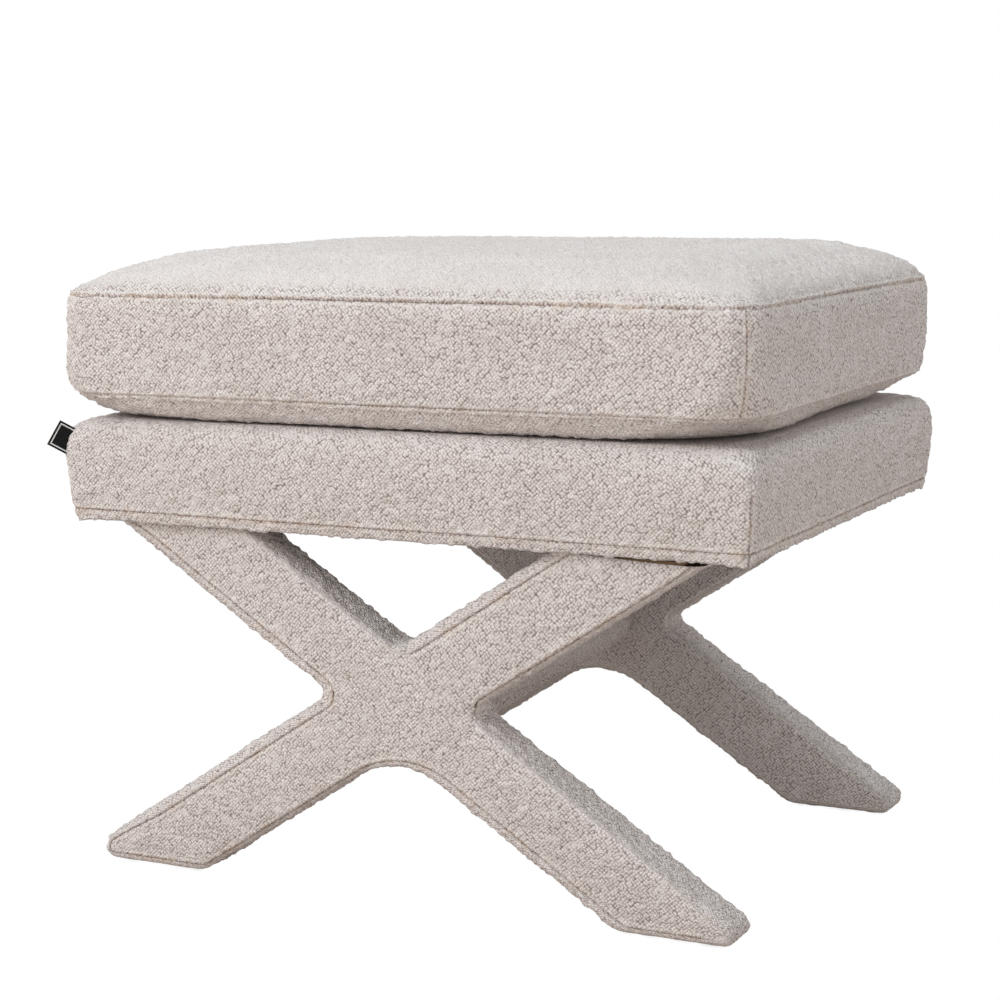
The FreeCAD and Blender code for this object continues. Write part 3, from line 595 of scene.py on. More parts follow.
def deck_top(name):
    half_x, half_y = DECK_HALF[0] - DECK_ROLL[1], DECK_HALF[1] - DECK_ROLL[1]
    insets = half_y * np.linspace(0, 1, 60)
    plan, ring, along, across = ring_grid(half_x, half_y, DECK_TOP_CORNER, 0.0, insets)
    points = placed(*plan.T, DECK_TOP)
    points[:, 2] -= (0.35 + 0.3 * lumps(points, 60, 3)) * np.clip(insets[ring] / 6, 0, 1)
    quads = grid_quads(along, across)[:, ::-1]
    return piece(name, points, quads, "base", np.full(len(points), 30.0), plan)


def deck_band(name):
    """The narrow band under the deck's bottom seam, turned under to its hem."""
    radius, lowest = BAND_TURN, DECK_BOTTOM + BAND_LIFT
    levels, at = deck_levels(lowest + radius, DECK_BOTTOM + DECK_BAND, fine_end=True)
    turn = []
    for angle in np.radians(np.arange(0, 90, 18)):
        inward = radius * (1 - math.sin(angle))
        turn.append((lowest + radius * (1 - math.cos(angle)), DECK_FLARE - 0.4 + inward, DECK_CORNER))
    flat_start = DECK_FLARE - 0.4 + radius
    under = [(lowest, flat_start + step, max(DECK_CORNER - step, 1.5)) for step in np.arange(22.0, 0, -2.0)]
    lower = [(z, DECK_HALF[0] - n, DECK_HALF[1] - n, r, 0.0) for z, n, r in under + turn]
    levels = lower + levels
    seam = np.concatenate([np.full(len(lower), 9.0), at[-1] - at])
    heights = np.concatenate([np.arange(len(lower)) * 1.9 - len(lower) * 1.9, at])
    found, faces, seams, weaves, first = [], [], [], [], 0
    for side in range(4):
        length = 2 * DECK_HALF[side % 2]
        columns = np.linspace(0, 1, int(round(length / STEP)) + 1)
        grid = side_grid(levels, side, columns)
        found.append(grid)
        faces.append(grid_quads(len(levels), len(columns), first))
        seams.append(np.repeat(seam, len(columns)))
        weaves.append(over(columns * length, heights))
        first += len(grid)
    points, quads, kept = merged(np.concatenate(found), np.concatenate(faces))
    seam, weave = np.concatenate(seams)[kept], np.concatenate(weaves)[kept]
    corner = np.hypot(DECK_HALF[0] - np.abs(points[:, 0]), DECK_HALF[1] - np.abs(points[:, 1]))
    points[:, 2] -= BAND_DROOP * np.exp(-((corner / 15) ** 2)) * np.clip(seam / 7, 0, 1)
    outward = normals_of(points, quads)
    lift = folded(seam, fold=0.6, ridge=0.4) + fuzz(points, seam, soft=0.2)
    lift = np.where(np.abs(outward[:, 2]) > 0.9, 0.0, lift)
    return piece(name, points + outward * lift[:, None], quads, "base", seam, weave)


deck_pieces = [deck_side("deck_%s_cover" % n, s) for s, n in enumerate(("front", "right", "rear", "left"))]
deck_pieces.append(deck_top("deck_top_cover"))
band_piece = deck_band("deck_band_cover")


# The X frames


def corner_arc(corners, index, radius):
    """Start, end, centre and radius of the arc at one corner of a closed outline."""
    here = np.array(corners[index], float)
    back = np.array(corners[index - 1], float) - here
    ahead = np.array(corners[(index + 1) % len(corners)], float) - here
    back /= np.linalg.norm(back)
    ahead /= np.linalg.norm(ahead)
    half = math.acos(np.clip(back @ ahead, -1, 1)) / 2
    bisector = (back + ahead) / np.linalg.norm(back + ahead)
    run = radius / math.tan(half)
    return here + back * run, here + ahead * run, here + bisector * (radius / math.sin(half)), radius


def arc_points(start, end, centre, radius, first, last, count):
    """Points on part of an arc, between two shares of it."""
    a = math.atan2(start[1] - centre[1], start[0] - centre[0])
    b = math.atan2(end[1] - centre[1], end[0] - centre[0])
    turn = (b - a + math.pi) % (2 * math.pi) - math.pi
    angles = a + turn * np.linspace(first, last, count + 1)
    return np.stack([centre[0] + radius * np.cos(angles), centre[1] + radius * np.sin(angles)], axis=1)


def line_points(start, end, count):
    return spread(start, end, np.linspace(0, 1, count + 1))


def chained(*parts):
    return np.concatenate([parts[0]] + [part[1:] for part in parts[1:]])


ARM_CELLS = 122
LEG_CELLS = 140
WIDTH_CELLS = 32
PANEL_WIDTH = 48.0


def cross_edges(inset):
    """The edges of the right half of the X, inset from its outside."""
    slope = math.tan(ARM_ANGLE)
    half_rise = (ARM_WIDTH / 2 - inset) / math.cos(ARM_ANGLE)
    half_run = (ARM_WIDTH / 2 - inset) / math.sin(ARM_ANGLE)
    toe, foot, top = TOE_REACH - inset, FOOT_LEVEL + inset, DECK_BOTTOM
    upper_inner = (top - CROSS_HEIGHT - half_rise) / slope
    heel = (CROSS_HEIGHT - half_rise - foot) / slope
    toe_top = CROSS_HEIGHT - (toe - half_run) * slope
    wall = toe_top - foot
    round_toe = min(max(TOE_RADIUS - inset, 1.5), wall * 0.85)
    round_bottom = min(max(TOE_BOTTOM_RADIUS - inset, 1.5), wall * 0.52)
    round_heel = max(HEEL_RADIUS - inset, 1.5)
    right = [(upper_inner, top), (upper_inner + 2 * half_run, top), (half_run, CROSS_HEIGHT)]
    right += [(toe, toe_top), (toe, foot), (heel, foot)]
    corners = right + [(0.0, CROSS_HEIGHT - half_rise)] + [(-x, z) for x, z in reversed(right)]
    corners.append((0.0, CROSS_HEIGHT + half_rise))
    crotches = [(2, SIDE_CROTCH + inset), (6, BOTTOM_CROTCH + inset), (13, TOP_CROTCH + inset)]
    crotch_side, crotch_bottom, crotch_top = [corner_arc(corners, *crotch) for crotch in crotches]
    toes = [(3, round_toe), (4, round_bottom), (5, round_heel)]
    toe_arc, bottom_arc, heel_arc = [corner_arc(corners, *toe_corner) for toe_corner in toes]
    arm_inner = line_points(crotch_top[1], corners[0], ARM_CELLS - 9)
    inner = chained(arc_points(*crotch_top, 0.5, 1, 9), arm_inner)
    arm_outer = line_points(crotch_side[0], corners[1], ARM_CELLS - 8)
    outer = chained(arc_points(*crotch_side, 0.5, 0, 8), arm_outer)
    upper = chained(
        arc_points(*crotch_side, 0.5, 1, 8),
        line_points(crotch_side[1], toe_arc[0], LEG_CELLS - 14),
        arc_points(*toe_arc, 0, 0.5, 6),
    )
    end = chained(
        arc_points(*toe_arc, 0.5, 1, 5),
        line_points(toe_arc[1], bottom_arc[0], 3),
        arc_points(*bottom_arc, 0, 1, 5),
        line_points(bottom_arc[1], heel_arc[0], WIDTH_CELLS - 17),
        arc_points(*heel_arc, 0, 0.5, 4),
    )
    lower = chained(
        arc_points(*crotch_bottom, 0.5, 0, 24),
        line_points(crotch_bottom[0], heel_arc[1], LEG_CELLS - 28),
        arc_points(*heel_arc, 1, 0.5, 4),
    )
    return inner, outer, upper, end, lower


def width_shares():
    """Shares of the way across an arm, closer together next to its seams."""
    even = WIDTH_CELLS - 2 * (len(RAMP) - 1)
    return stations(PANEL_WIDTH, (PANEL_WIDTH - 2 * RAMP[-1]) / even) / PANEL_WIDTH


def patch(low, high, across, end=None):
    """A patch between two lines. Its last side may be a curve, the first one is straight."""
    flat = np.stack([spread(a, b, across) for a, b in zip(low, high)])
    if end is not None:
        run = run_along(low)
        flat += np.multiply.outer(run / run[-1], end - flat[-1])
    return flat


def mirrored(points):
    return points * (-1.0, 1.0)


def nearest(points, lines):
    """The distance from each point to the nearest of some lines of points."""
    found = np.full(len(points), 1e9)
    for line in lines:
        start, step = line[:-1], np.diff(line, axis=0)
        length = np.maximum((step**2).sum(axis=1), 1e-12)
        for first in range(0, len(points), 2000):
            part = slice(first, first + 2000)
            near = points[part, None] - start[None]
            share = np.clip((near * step).sum(axis=2) / length, 0, 1)
            gap = near - share[..., None] * step
            found[part] = np.minimum(found[part], np.sqrt((gap**2).sum(axis=2)).min(axis=1))
    return found


def slid(points, shift):
    """A seam line moved along x, less and less towards the toes."""
    away = (TOE_REACH - 14 - np.abs(points[:, 0])) / 45
    return points + np.stack([shift * eased(away), 0 * away], axis=1)


def rounding(depth_from_edge):
    """How far the face of an X has turned back at a distance from its outside."""
    near = np.clip(SOFT_EDGE - depth_from_edge, 0, SOFT_EDGE)
    return SOFT_EDGE - np.sqrt(SOFT_EDGE**2 - near**2)


def halves(inner, outer, upper, end, lower):
    """The two lines of one outline of an X: over its top crotch, and round everything else."""
    right = chained(outer[::-1], upper, end, lower[::-1])
    return chained(mirrored(inner[::-1]), inner), chained(right, mirrored(right[::-1]))


OUTSIDE = halves(*cross_edges(0.0))


def over_arms(flat):
    """How far points lie above the arm that falls to the right, and below the one that rises."""
    x, z = flat[:, 0] * math.sin(ARM_ANGLE), (flat[:, 1] - CROSS_HEIGHT) * math.cos(ARM_ANGLE)
    return x + z, x - z


def showing(flat):
    """How plainly a seam shows: along the upper edge of the falling arm the cloth closes over it."""
    above, _ = over_arms(flat)
    return 1 - 0.88 * eased((above - 8) / 10) * (1 - eased((above - 36) / 8))


def settled(points, amount):
    """The cover round the right crotch, drawn down a little with the padding under it."""
    half = ARM_WIDTH / 2
    above, below = over_arms(points[:, [0, 2]])
    share = eased((np.minimum(above, below) + half) / (2 * half)) * eased((points[:, 2] - FOOT_LEVEL) / 30)
    return points + share[:, None] * np.array([amount[0], 0.0, amount[1]])


def cross_panel(name, face, outward_y, inset, shift, clear):
    """The cloth panel on one face of an X, pillowed between its seams."""
    inner, outer, upper, end, lower = edges = cross_edges(inset)
    across = width_shares()
    arms = [patch(inner, outer, across), patch(upper, lower, across, end)]
    upper_right, lower_left = spread(inner[0], upper[0], across), spread(mirrored(upper[0]), lower[0], across)
    grids = [(arm, 1) for arm in arms] + [(mirrored(arm), -1) for arm in arms]
    grids.append((spread(upper_right, lower_left, across), 1))
    points, quads, first = [], [], 0
    for grid, way in grids:
        quads.append(grid_quads(*grid.shape[:2], first)[:, ::way])
        points.append(grid.reshape(-1, 2))
        first += len(points[-1])
    flat, quads, kept = merged(np.concatenate(points), np.concatenate(quads))
    diagonals = flat[quads[:, 2:]] - flat[quads[:, :2]]
    area = diagonals[:, 0, 0] * diagonals[:, 1, 1] - diagonals[:, 0, 1] * diagonals[:, 1, 0]
    quads = np.where(area[:, None] < 0, quads[:, ::-1], quads)
    flat = slid(flat, shift)
    seam = nearest(flat, [slid(line, shift) for line in halves(*edges)])
    plain = clear * showing(flat)
    points = placed(flat[:, 0], face - outward_y * rounding(nearest(flat, OUTSIDE)), flat[:, 1])
    if normals_of(points, quads)[:, 1].mean() * outward_y < 0:
        quads = quads[:, ::-1]
    pillow = 1.2 * (1 - np.exp(-((seam / 11) ** 2)))
    lift = folded(seam, fold=1.1, ridge=0.5) * plain + pillow + fuzz(points, seam)
    lift = lift * np.clip((DECK_BOTTOM - points[:, 2]) / 1.5 + 0.4, 0, 1)
    points = settled(raised(points, quads, lift), SETTLING[face > 0])
    return piece(name, points, quads, "base", seam + 0.2 + 3 * (1 - plain), flat)


BAND_SHARES = np.array([0, 0.04, 0.1, 0.18, 0.28, 0.4, 0.52, 0.64, 0.76, 0.88, 1.0])


def band_face(seam_line, outer_line):
    """Rows from a seam line over the rounded edge: their flat places, depths and distances."""
    room = nearest(seam_line, OUTSIDE)
    plain = np.maximum(room - SOFT_EDGE, 0)
    start = np.arcsin(np.clip(1 - room / SOFT_EDGE, 0, 1))
    length = plain + SOFT_EDGE * (math.pi / 2 - start)
    rows = []
    for share in BAND_SHARES:
        run = share * length
        angle = start + np.maximum(run - plain, 0) / SOFT_EDGE
        left = np.where(run < plain, room - run, SOFT_EDGE * (1 - np.sin(angle)))
        part = (1 - left / room)[:, None]
        rows.append((seam_line * (1 - part) + outer_line * part, rounding(left), run))
    return rows


def cross_band(name, middle, faces):
    """The cloth band over the edges of an X, between the seams of its two faces."""
    half = CROSS_THICKNESS / 2
    found, quads, seams, weaves, plains, first = [], [], [], [], [], 0
    side = np.linspace(-half + SOFT_EDGE, half - SOFT_EDGE, 17)[1:-1]
    for part in (0, 1):
        rows = []
        outer_line = OUTSIDE[part]
        for sign, (inset, shift, clear) in zip((-1, 1), faces):
            seam_line = slid(halves(*cross_edges(inset))[part], shift)
            plain = clear * showing(seam_line)
            own = []
            for flat, depth, run in band_face(seam_line, outer_line):
                own.append((flat, sign * (half - depth), run, plain))
            rows.append(own if sign < 0 else own[::-1])
        last, full = rows[0][-1][2], np.ones(len(outer_line))
        between = [(outer_line, full * y, last + half - abs(y), full) for y in side]
        rows = rows[0] + between + rows[1]
        for flat, y, seam, plain in rows:
            plains.append(plain)
            found.append(placed(flat[:, 0], middle + y, flat[:, 1]))
            seams.append(seam)
        weaves.append(over(run_along(outer_line), 1.6 * np.arange(len(rows))))
        quads.append(grid_quads(len(rows), len(outer_line), first))
        first += len(rows) * len(outer_line)
    points, quads = np.concatenate(found), np.concatenate(quads)
    seam, weave, plain = np.concatenate(seams), np.concatenate(weaves), np.concatenate(plains)
    outward = normals_of(points, quads)
    if outward[np.argmin(points[:, 2]), 2] > 0:
        quads = quads[:, ::-1]
        outward = -outward
    lift = folded(seam, fold=1.1, ridge=0.5) * plain + fuzz(points, seam) - 0.1
    standing = np.clip((points[:, 2] - FOOT_LEVEL) / 6, 0.15, 1)
    lift = lift * standing * np.clip((DECK_BOTTOM - points[:, 2]) / 1.5 + 0.4, 0, 1)
    points = settled(points + outward * lift[:, None], SETTLING[middle > 0])
    return piece(name, points, quads, "base", seam + 0.2 + 3 * (1 - plain), weave)


# The seams of each face: how far in they lie, how far they are moved along x, how plainly they show.
FACE_SEAMS = {"front": [(6.0, 6.5, 1.0), (5.5, 0.0, 1.0)], "rear": [(4.0, 3.0, 0.4), (5.5, 0.0, 1.0)]}
# How far the cover of the front X and of the rear X has settled, along x and z.
SETTLING = [(-0.2, -3.7), (1.6, -4.1)]
cross_covers = []
for word, sign in (("front", -1), ("rear", 1)):
    middle = sign * CROSS_MIDDLE
    low, high = FACE_SEAMS[word]
    words = ("outer", "inner") if sign < 0 else ("inner", "outer")
    for face_word, towards, seams in zip(words, (-1, 1), (low, high)):
        name = "%s_%s" % (word, face_word)
        face = middle + towards * CROSS_THICKNESS / 2
        cross_covers.append((cross_panel(name + "_cover", face, towards, *seams), [name + "_panel"]))
    band = cross_band(word + "_edge_cover", middle, (low, high))
    cross_covers.append((band, [word + "_edge_band", word + "_wadding"]))


# The stretcher


def stretcher(name):
    reach = CROSS_MIDDLE - CROSS_THICKNESS / 2
    start = math.radians(-62)
    length = 2 * math.pi * STRETCHER_RADIUS
    around = stations(length)
    along = stations(2 * reach)
    angle = start + around / STRETCHER_RADIUS
    depth, turn = np.meshgrid(along - reach, angle, indexing="ij")
    points = placed(STRETCHER_RADIUS * np.cos(turn), depth, CROSS_HEIGHT + STRETCHER_RADIUS * np.sin(turn))
    quads = grid_quads(len(along), len(around))
    outward = normals_of(points, quads)
    if (outward[:, 0] * points[:, 0]).mean() < 0:
        quads = quads[:, ::-1]
        outward = -outward
    ends = np.repeat(np.minimum(along, 2 * reach - along), len(around))
    seam = np.tile(np.minimum(around, length - around), len(along))
    nearer = np.minimum(seam, ends)
    lift = folded(seam, fold=1.2) + folded(ends, fold=1.6) + fuzz(points, nearer)
    return piece(name, points + outward * lift[:, None], quads, "base", nearer, over(around, along))


stretcher_piece = stretcher("stretcher_outer_cover")


# The dust cover, the tag and the zip


def dust_sheet(name):
    """The black cover stapled under the deck, sagging a little between its staples."""
    low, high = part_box("dust_cover")
    low, high = np.array(low) / MM, np.array(high) / MM
    columns = np.linspace(low[0] + 0.5, high[0] - 0.5, 90)
    rows = np.linspace(low[1] + 0.5, high[1] - 0.5, 70)
    y, x = np.meshgrid(rows, columns, indexing="ij")
    in_x = np.clip(1 - (x / high[0]) ** 2, 0, 1)
    in_y = np.clip(1 - (y / high[1]) ** 2, 0, 1)
    points = placed(x, y, low[2] + 0.3)
    sag = (3.4 * (in_x * in_y) ** 0.6).ravel()
    points[:, 2] -= sag + 0.7 * lumps(points, 45, 5) * np.clip(sag, 0, 1)
    quads = grid_quads(len(rows), len(columns))[:, ::-1]
    return piece(name, points, quads, "base"), high - low


def tag_loop(name):
    """The woven tag, folded at its outer end, standing out of the corner seam."""
    outward = np.array([-1.0, -1.0, 0.0]) / math.sqrt(2)
    up = np.array([0.0, 0.0, 1.0])
    along = outward * math.cos(TAG_TILT) + up * math.sin(TAG_TILT)
    across = outward * math.sin(TAG_TILT) - up * math.cos(TAG_TILT)
    normal = np.cross(along, across)
    sink = DECK_CORNER * (1 - math.sqrt(0.5))
    end = np.array([sink - DECK_HALF[0], sink - DECK_HALF[1], TAG_HEIGHT]) + outward * 10.0
    length = 26.0
    gap = 0.42
    loop = [(s, gap) for s in np.linspace(0, length - gap, 40)]
    fold = np.radians(np.arange(75, -90, -15))
    loop += [(length - gap + gap * math.cos(a), gap * math.sin(a)) for a in fold]
    loop += [(s, -gap) for s in np.linspace(length - gap, 0, 40)]
    s, h = np.repeat(np.array(loop), TAG_COLUMNS, axis=0).T
    width = np.tile(np.linspace(-TAG_WIDTH / 2, TAG_WIDTH / 2, TAG_COLUMNS), len(loop))
    bend = 0.9 * np.sin(s / length * math.pi) ** 2
    curl = 0.35 * (width / (TAG_WIDTH / 2)) ** 2 * s / length
    points = end + np.outer(s - length, along) + np.outer(width, across) + np.outer(bend + curl + h, normal)
    quads = grid_quads(len(loop), TAG_COLUMNS)
    return piece(name, points, quads, "base", extra={"across": np.abs(width), "along": length - s})


def zip_strips(name):
    """The two woven tapes behind the zip's slot."""
    columns = np.linspace(-1, 1, 184) * (ZIP_HALF + TAPE_END)
    points, quads, first = [], [], 0
    for sign in (-1, 1):
        rows = np.linspace(0.4, 13.6, 10)
        for z in rows:
            share = 0.5 + sign * z / (TOP_SEAM - BOTTOM_SEAM)
            off = (2 * share - 1) ** 4
            reach = CUSHION_HALF[0] - CUSHION_CORNER
            inward = CUSHION_BULGE * off + CUSHION_DRAW * off * (1 - (columns / reach) ** 2)
            depth = CUSHION_HALF[1] - inward - 2.3
            points.append(placed(columns, depth, ZIP_LEVEL + sign * z))
        faces = grid_quads(len(rows), len(columns), first)
        quads.append(faces[:, ::-1] if sign > 0 else faces)
        first += len(rows) * len(columns)
    return piece(name, np.concatenate(points), np.concatenate(quads), "cushion")


dust_piece, dust_size = dust_sheet("dust_sheet")
tag_piece = tag_loop("tag_ribbon")
tape_piece = zip_strips("zip_woven_tapes")


# Materials


class Tree:
    """A node tree, with short ways to add nodes and to join them."""

    def __init__(self, owner):
        owner.use_nodes = True
        self.nodes, self.links = owner.node_tree.nodes, owner.node_tree.links

    def join(self, value, socket):
        """Links a socket to another, or gives it a number, a vector or a colour."""
        if hasattr(value, "is_output"):
            self.links.new(value, socket)
        elif isinstance(value, tuple) and len(value) < len(socket.default_value):
            socket.default_value = (*value, 1)
        else:
            socket.default_value = value

    def add(self, kind, inputs=None, **settings):
        """A new node's outputs."""
        node = self.nodes.new("ShaderNode" + kind)
        for key, value in settings.items():
            setattr(node, key, value)
        for key, value in (inputs or {}).items():
            self.join(value, node.inputs[key])
        return node.outputs

    def maths(self, operation, first, second=0.0, third=0.0, clamp=False):
        return self.add("Math", {0: first, 1: second, 2: third}, operation=operation, use_clamp=clamp)[0]

    def scaled(self, value, by, plus=0.0, clamp=False):
        return self.maths("MULTIPLY_ADD", value, by, plus, clamp)

    def mix(self, kind, factor, first, second):
        """Two colours mixed."""
        return self.add("Mix", {0: factor, 6: first, 7: second}, data_type="RGBA", blend_type=kind)[2]

    def ramp(self, source, *stops):
        """A colour ramp with (place, colour) stops. A number stands for a grey."""
        node = self.nodes.new("ShaderNodeValToRGB")
        band = node.color_ramp.elements
        for index, (place, colour) in enumerate((stops[0], stops[-1], *stops[1:-1])):
            stop = band[index] if index < 2 else band.new(place)
            stop.position = place
            stop.color = (*colour, 1) if isinstance(colour, tuple) else (colour, colour, colour, 1)
        self.join(source, node.inputs[0])
        return node.outputs[0]

    def for_camera(self, others, seen, kind):
        """The output of a tree whose shader for the camera's own rays differs from the one for all others."""
        rays = self.add("LightPath")["Is Camera Ray"]
        self.add(kind, {"Surface": self.add("MixShader", {0: rays, 1: others, 2: seen})[0]})


class Look(Tree):
    """A new material with its shader."""

    def __init__(self, name, base, roughness=0.8, metallic=0.0):
        self.made = bpy.data.materials.new(name)
        super().__init__(self.made)
        self.inputs = self.nodes["Principled BSDF"].inputs
        self.place = self.add("TexCoord")["Object"]
        for key, value in (("Base Color", base), ("Roughness", roughness), ("Metallic", metallic)):
            self.join(value, self.inputs[key])

    def noise(self, scale, detail=1.0, distortion=0.0, place=None):
        inputs = {"Scale": scale, "Detail": detail, "Distortion": distortion}
        return self.add("TexNoise", {"Vector": self.place if place is None else place, **inputs})

    def attribute(self, name):
        return self.add("Attribute", attribute_name=name)

    def finish(self, tone, height, strength, distance):
        """Gives the shader its colour, and its relief on top of the mesh."""
        bump = self.add("Bump", {"Height": height, "Strength": strength, "Distance": distance})
        self.join(tone, self.inputs["Base Color"])
        self.join(bump[0], self.inputs["Normal"])


def boucle():
    """Light greige boucle: rows of small round nubs with darker gaps, partly their own tone and partly
    painted shade, pale slubs and warm flecks.
    """
    look = Look("boucle", (0.7, 0.65, 0.63), 0.95)
    seam, pressed = look.attribute("seam")["Fac"], look.attribute("pressed")["Fac"]
    # The nubs lie on a slanted grid that wanders a little.
    wander = look.add("VectorMath", {0: look.noise(150.0)["Color"], 1: (0.5, 0.5, 0.5)}, operation="SUBTRACT")
    wander = look.add("VectorMath", {0: wander[0], "Scale": 2.0}, operation="SCALE")
    moved = look.add("VectorMath", {0: look.attribute("weave")["Vector"], 1: wander[0]}, operation="ADD")
    turn = {"Vector": moved[0], "Rotation": (0, 0, math.radians(45)), "Scale": (1 / NUB, 1 / NUB, 1)}
    grid = {"Vector": look.add("Mapping", turn)[0], "Scale": 1.0, "Randomness": 0.5}
    nubs = look.add("TexVoronoi", grid, voronoi_dimensions="2D")
    own = look.add("SeparateColor", {0: nubs["Color"]})[0]
    level = look.scaled(nubs["Distance"], -1.15, 0.58)
    level = look.scaled(own, 0.18, level)
    level = look.scaled(look.noise(640.0)["Fac"], 0.7, level)
    # The ramp runs from painted shade in the gaps between the nubs, over their own darker tone, up to the
    # light nub tops.
    stops = [
        (0.05, (0.21, 0.17, 0.155)),
        (0.32, (0.45, 0.398, 0.38)),
        (0.60, (0.715, 0.653, 0.633)),
        (0.95, (0.90, 0.84, 0.82)),
    ]
    tone = look.ramp(level, *stops)
    # Pale slubs, and on the top panels (half as much on the underside) away from the seam, an even tone that
    # takes out the painted shade of the gaps between the nubs
    pale = look.ramp(look.noise(95.0, 2.0)["Fac"], (0.56, 0.0), (0.68, 0.7))
    calm = look.maths("MAXIMUM", pale, look.maths("MULTIPLY", pressed, 0.72))
    tone = look.mix("MIX", calm, tone, (0.765, 0.712, 0.692))
    patches = look.ramp(look.noise(24.0, 3.0)["Fac"], (0.3, (0.93, 0.92, 0.91)), (0.72, 1.0))
    tone = look.mix("MULTIPLY", 1.0, tone, patches)
    # Warm flecks next to a seam, the ridge beside it painted paler as a painted highlight, and painted shade
    # in the crease at the seam
    warm = look.ramp(look.noise(60.0)["Fac"], (0.48, 0.0), (0.64, 1.0))
    warm = look.maths("MULTIPLY", warm, look.scaled(seam, -0.2, 1.2, clamp=True))
    tone = look.mix("MULTIPLY", look.maths("MULTIPLY", warm, 0.6), tone, (0.95, 0.86, 0.74))
    # The ridge beside the seam is painted paler: a painted highlight on the raised fold.
    ridge = look.maths("ABSOLUTE", look.maths("SUBTRACT", seam, 2.9))
    ridge = look.scaled(ridge, -0.3, 0.5, clamp=True)
    tone = look.mix("MIX", ridge, tone, (0.83, 0.78, 0.755))
    # Painted shade in the crease at the seam, broken into dots.
    dotted = look.ramp(look.noise(330.0)["Fac"], (0.4, 0.1), (0.62, 0.9))
    seam_shade = look.maths("MULTIPLY", look.scaled(seam, -0.62, 1.0, clamp=True), dotted)
    tone = look.mix("MULTIPLY", seam_shade, tone, (0.46, 0.37, 0.31))
    look.finish(tone, level, 0.8, 0.0012)
    look.join(0.12, look.inputs["Specular IOR Level"])
    look.join(0.2, look.inputs["Sheen Weight"])
    look.join(0.6, look.inputs["Sheen Roughness"])
    look.join((1.0, 0.96, 0.93), look.inputs["Sheen Tint"])
    return look


def wood(name, light, dark, scale):
    look = Look(name, light, 0.55)
    stretch = look.add("Mapping", {"Vector": look.place, "Scale": (1.0, 6.0, 6.0)})[0]
    grain = look.noise(scale, 8.0, 1.2, stretch)["Fac"]
    look.finish(look.ramp(grain, (0.35, dark), (0.62, light)), grain, 0.25, 0.0004)
    return look


def brushed(name, colour, roughness, metallic):
    """Metal or nylon with fine marks in its colour, gloss and surface."""
    look = Look(name, colour, roughness, metallic)
    marks = look.noise(300.0, 6.0)["Fac"]
    darker = tuple(0.72 * part for part in colour)
    look.finish(look.ramp(marks, (0.3, darker), (0.65, colour)), marks, 0.2, 0.0002)
    look.join(look.scaled(marks, 0.25, roughness - 0.12), look.inputs["Roughness"])
    return look


def woven(name, dark, light, scale, ways="XZ", roughness=0.9):
    """A fine plain weave from two crossing waves, or the turns of a coil from one."""
    look = Look(name, light, roughness)
    inputs = {"Vector": look.place, "Scale": scale, "Distortion": 0.4}
    waves = [look.add("TexWave", inputs, bands_direction=way)["Fac"] for way in ways]
    height = look.maths("MULTIPLY", waves[0], waves[-1])
    look.finish(look.ramp(height, (0.1, dark), (0.7, light)), height, 0.5, 0.0003)
    return look


def felted(name, dark, light):
    """Spunbonded non-woven cloth with its small pressed dots."""
    look = Look(name, dark, 0.85)
    fibres = look.noise(900.0, 4.0, 2.0)["Fac"]
    dots = look.add("TexVoronoi", {"Vector": look.place, "Scale": 520.0, "Randomness": 0.1})["Distance"]
    height = look.scaled(fibres, 0.4, dots)
    look.finish(look.ramp(fibres, (0.35, dark), (0.7, light)), height, 0.5, 0.0004)
    return look


def tag_weave():
    """Black woven ribbon with a thin pale line round its field."""
    look = woven("tag_cloth", (0.008, 0.008, 0.009), (0.03, 0.029, 0.03), 1500.0)
    across, along = look.attribute("across")["Fac"], look.attribute("along")["Fac"]

    def line(value, at):
        return look.maths("LESS_THAN", look.maths("ABSOLUTE", look.maths("SUBTRACT", value, at)), 0.5)

    side = look.maths("MULTIPLY", line(across, 9.1), look.maths("GREATER_THAN", along, 1.7))
    end = look.maths("MULTIPLY", line(along, 2.2), look.maths("LESS_THAN", across, 9.6))
    base = look.inputs["Base Color"]
    tone = base.links[0].from_socket
    look.join(look.mix("MIX", look.maths("MAXIMUM", side, end), tone, (0.80, 0.79, 0.78)), base)
    look.join(0.15, look.inputs["Specular IOR Level"])
    return look


LOOKS = {
    "boucle": boucle(),
    "hardwood": wood("hardwood", (0.56, 0.36, 0.20), (0.36, 0.21, 0.11), 14.0),
    "plywood": wood("plywood", (0.62, 0.46, 0.29), (0.45, 0.31, 0.18), 9.0),
    "steel": brushed("steel", (0.60, 0.60, 0.58), 0.35, 1.0),
    "glide_nylon": brushed("glide_nylon", (0.05, 0.048, 0.045), 0.5, 0.0),
    "underlining": felted("underlining", (0.012, 0.012, 0.012), (0.045, 0.044, 0.043)),
    "tag_cloth": tag_weave(),
    "zip_tape": woven("zip_tape", (0.36, 0.32, 0.29), (0.62, 0.58, 0.55), 1300.0),
    "zip_nylon": woven("zip_nylon", (0.20, 0.18, 0.165), (0.60, 0.56, 0.53), 209.0, "X", 0.5),
    "zip_metal": brushed("zip_metal", (0.55, 0.53, 0.50), 0.3, 1.0),
}


def wear(thing, slot):
    """Gives a piece the material of that slot."""
    made = LOOKS[slot].made
    for place in thing.material_slots:
        place.material = made
    if not thing.material_slots:
        thing.data.materials.append(made)


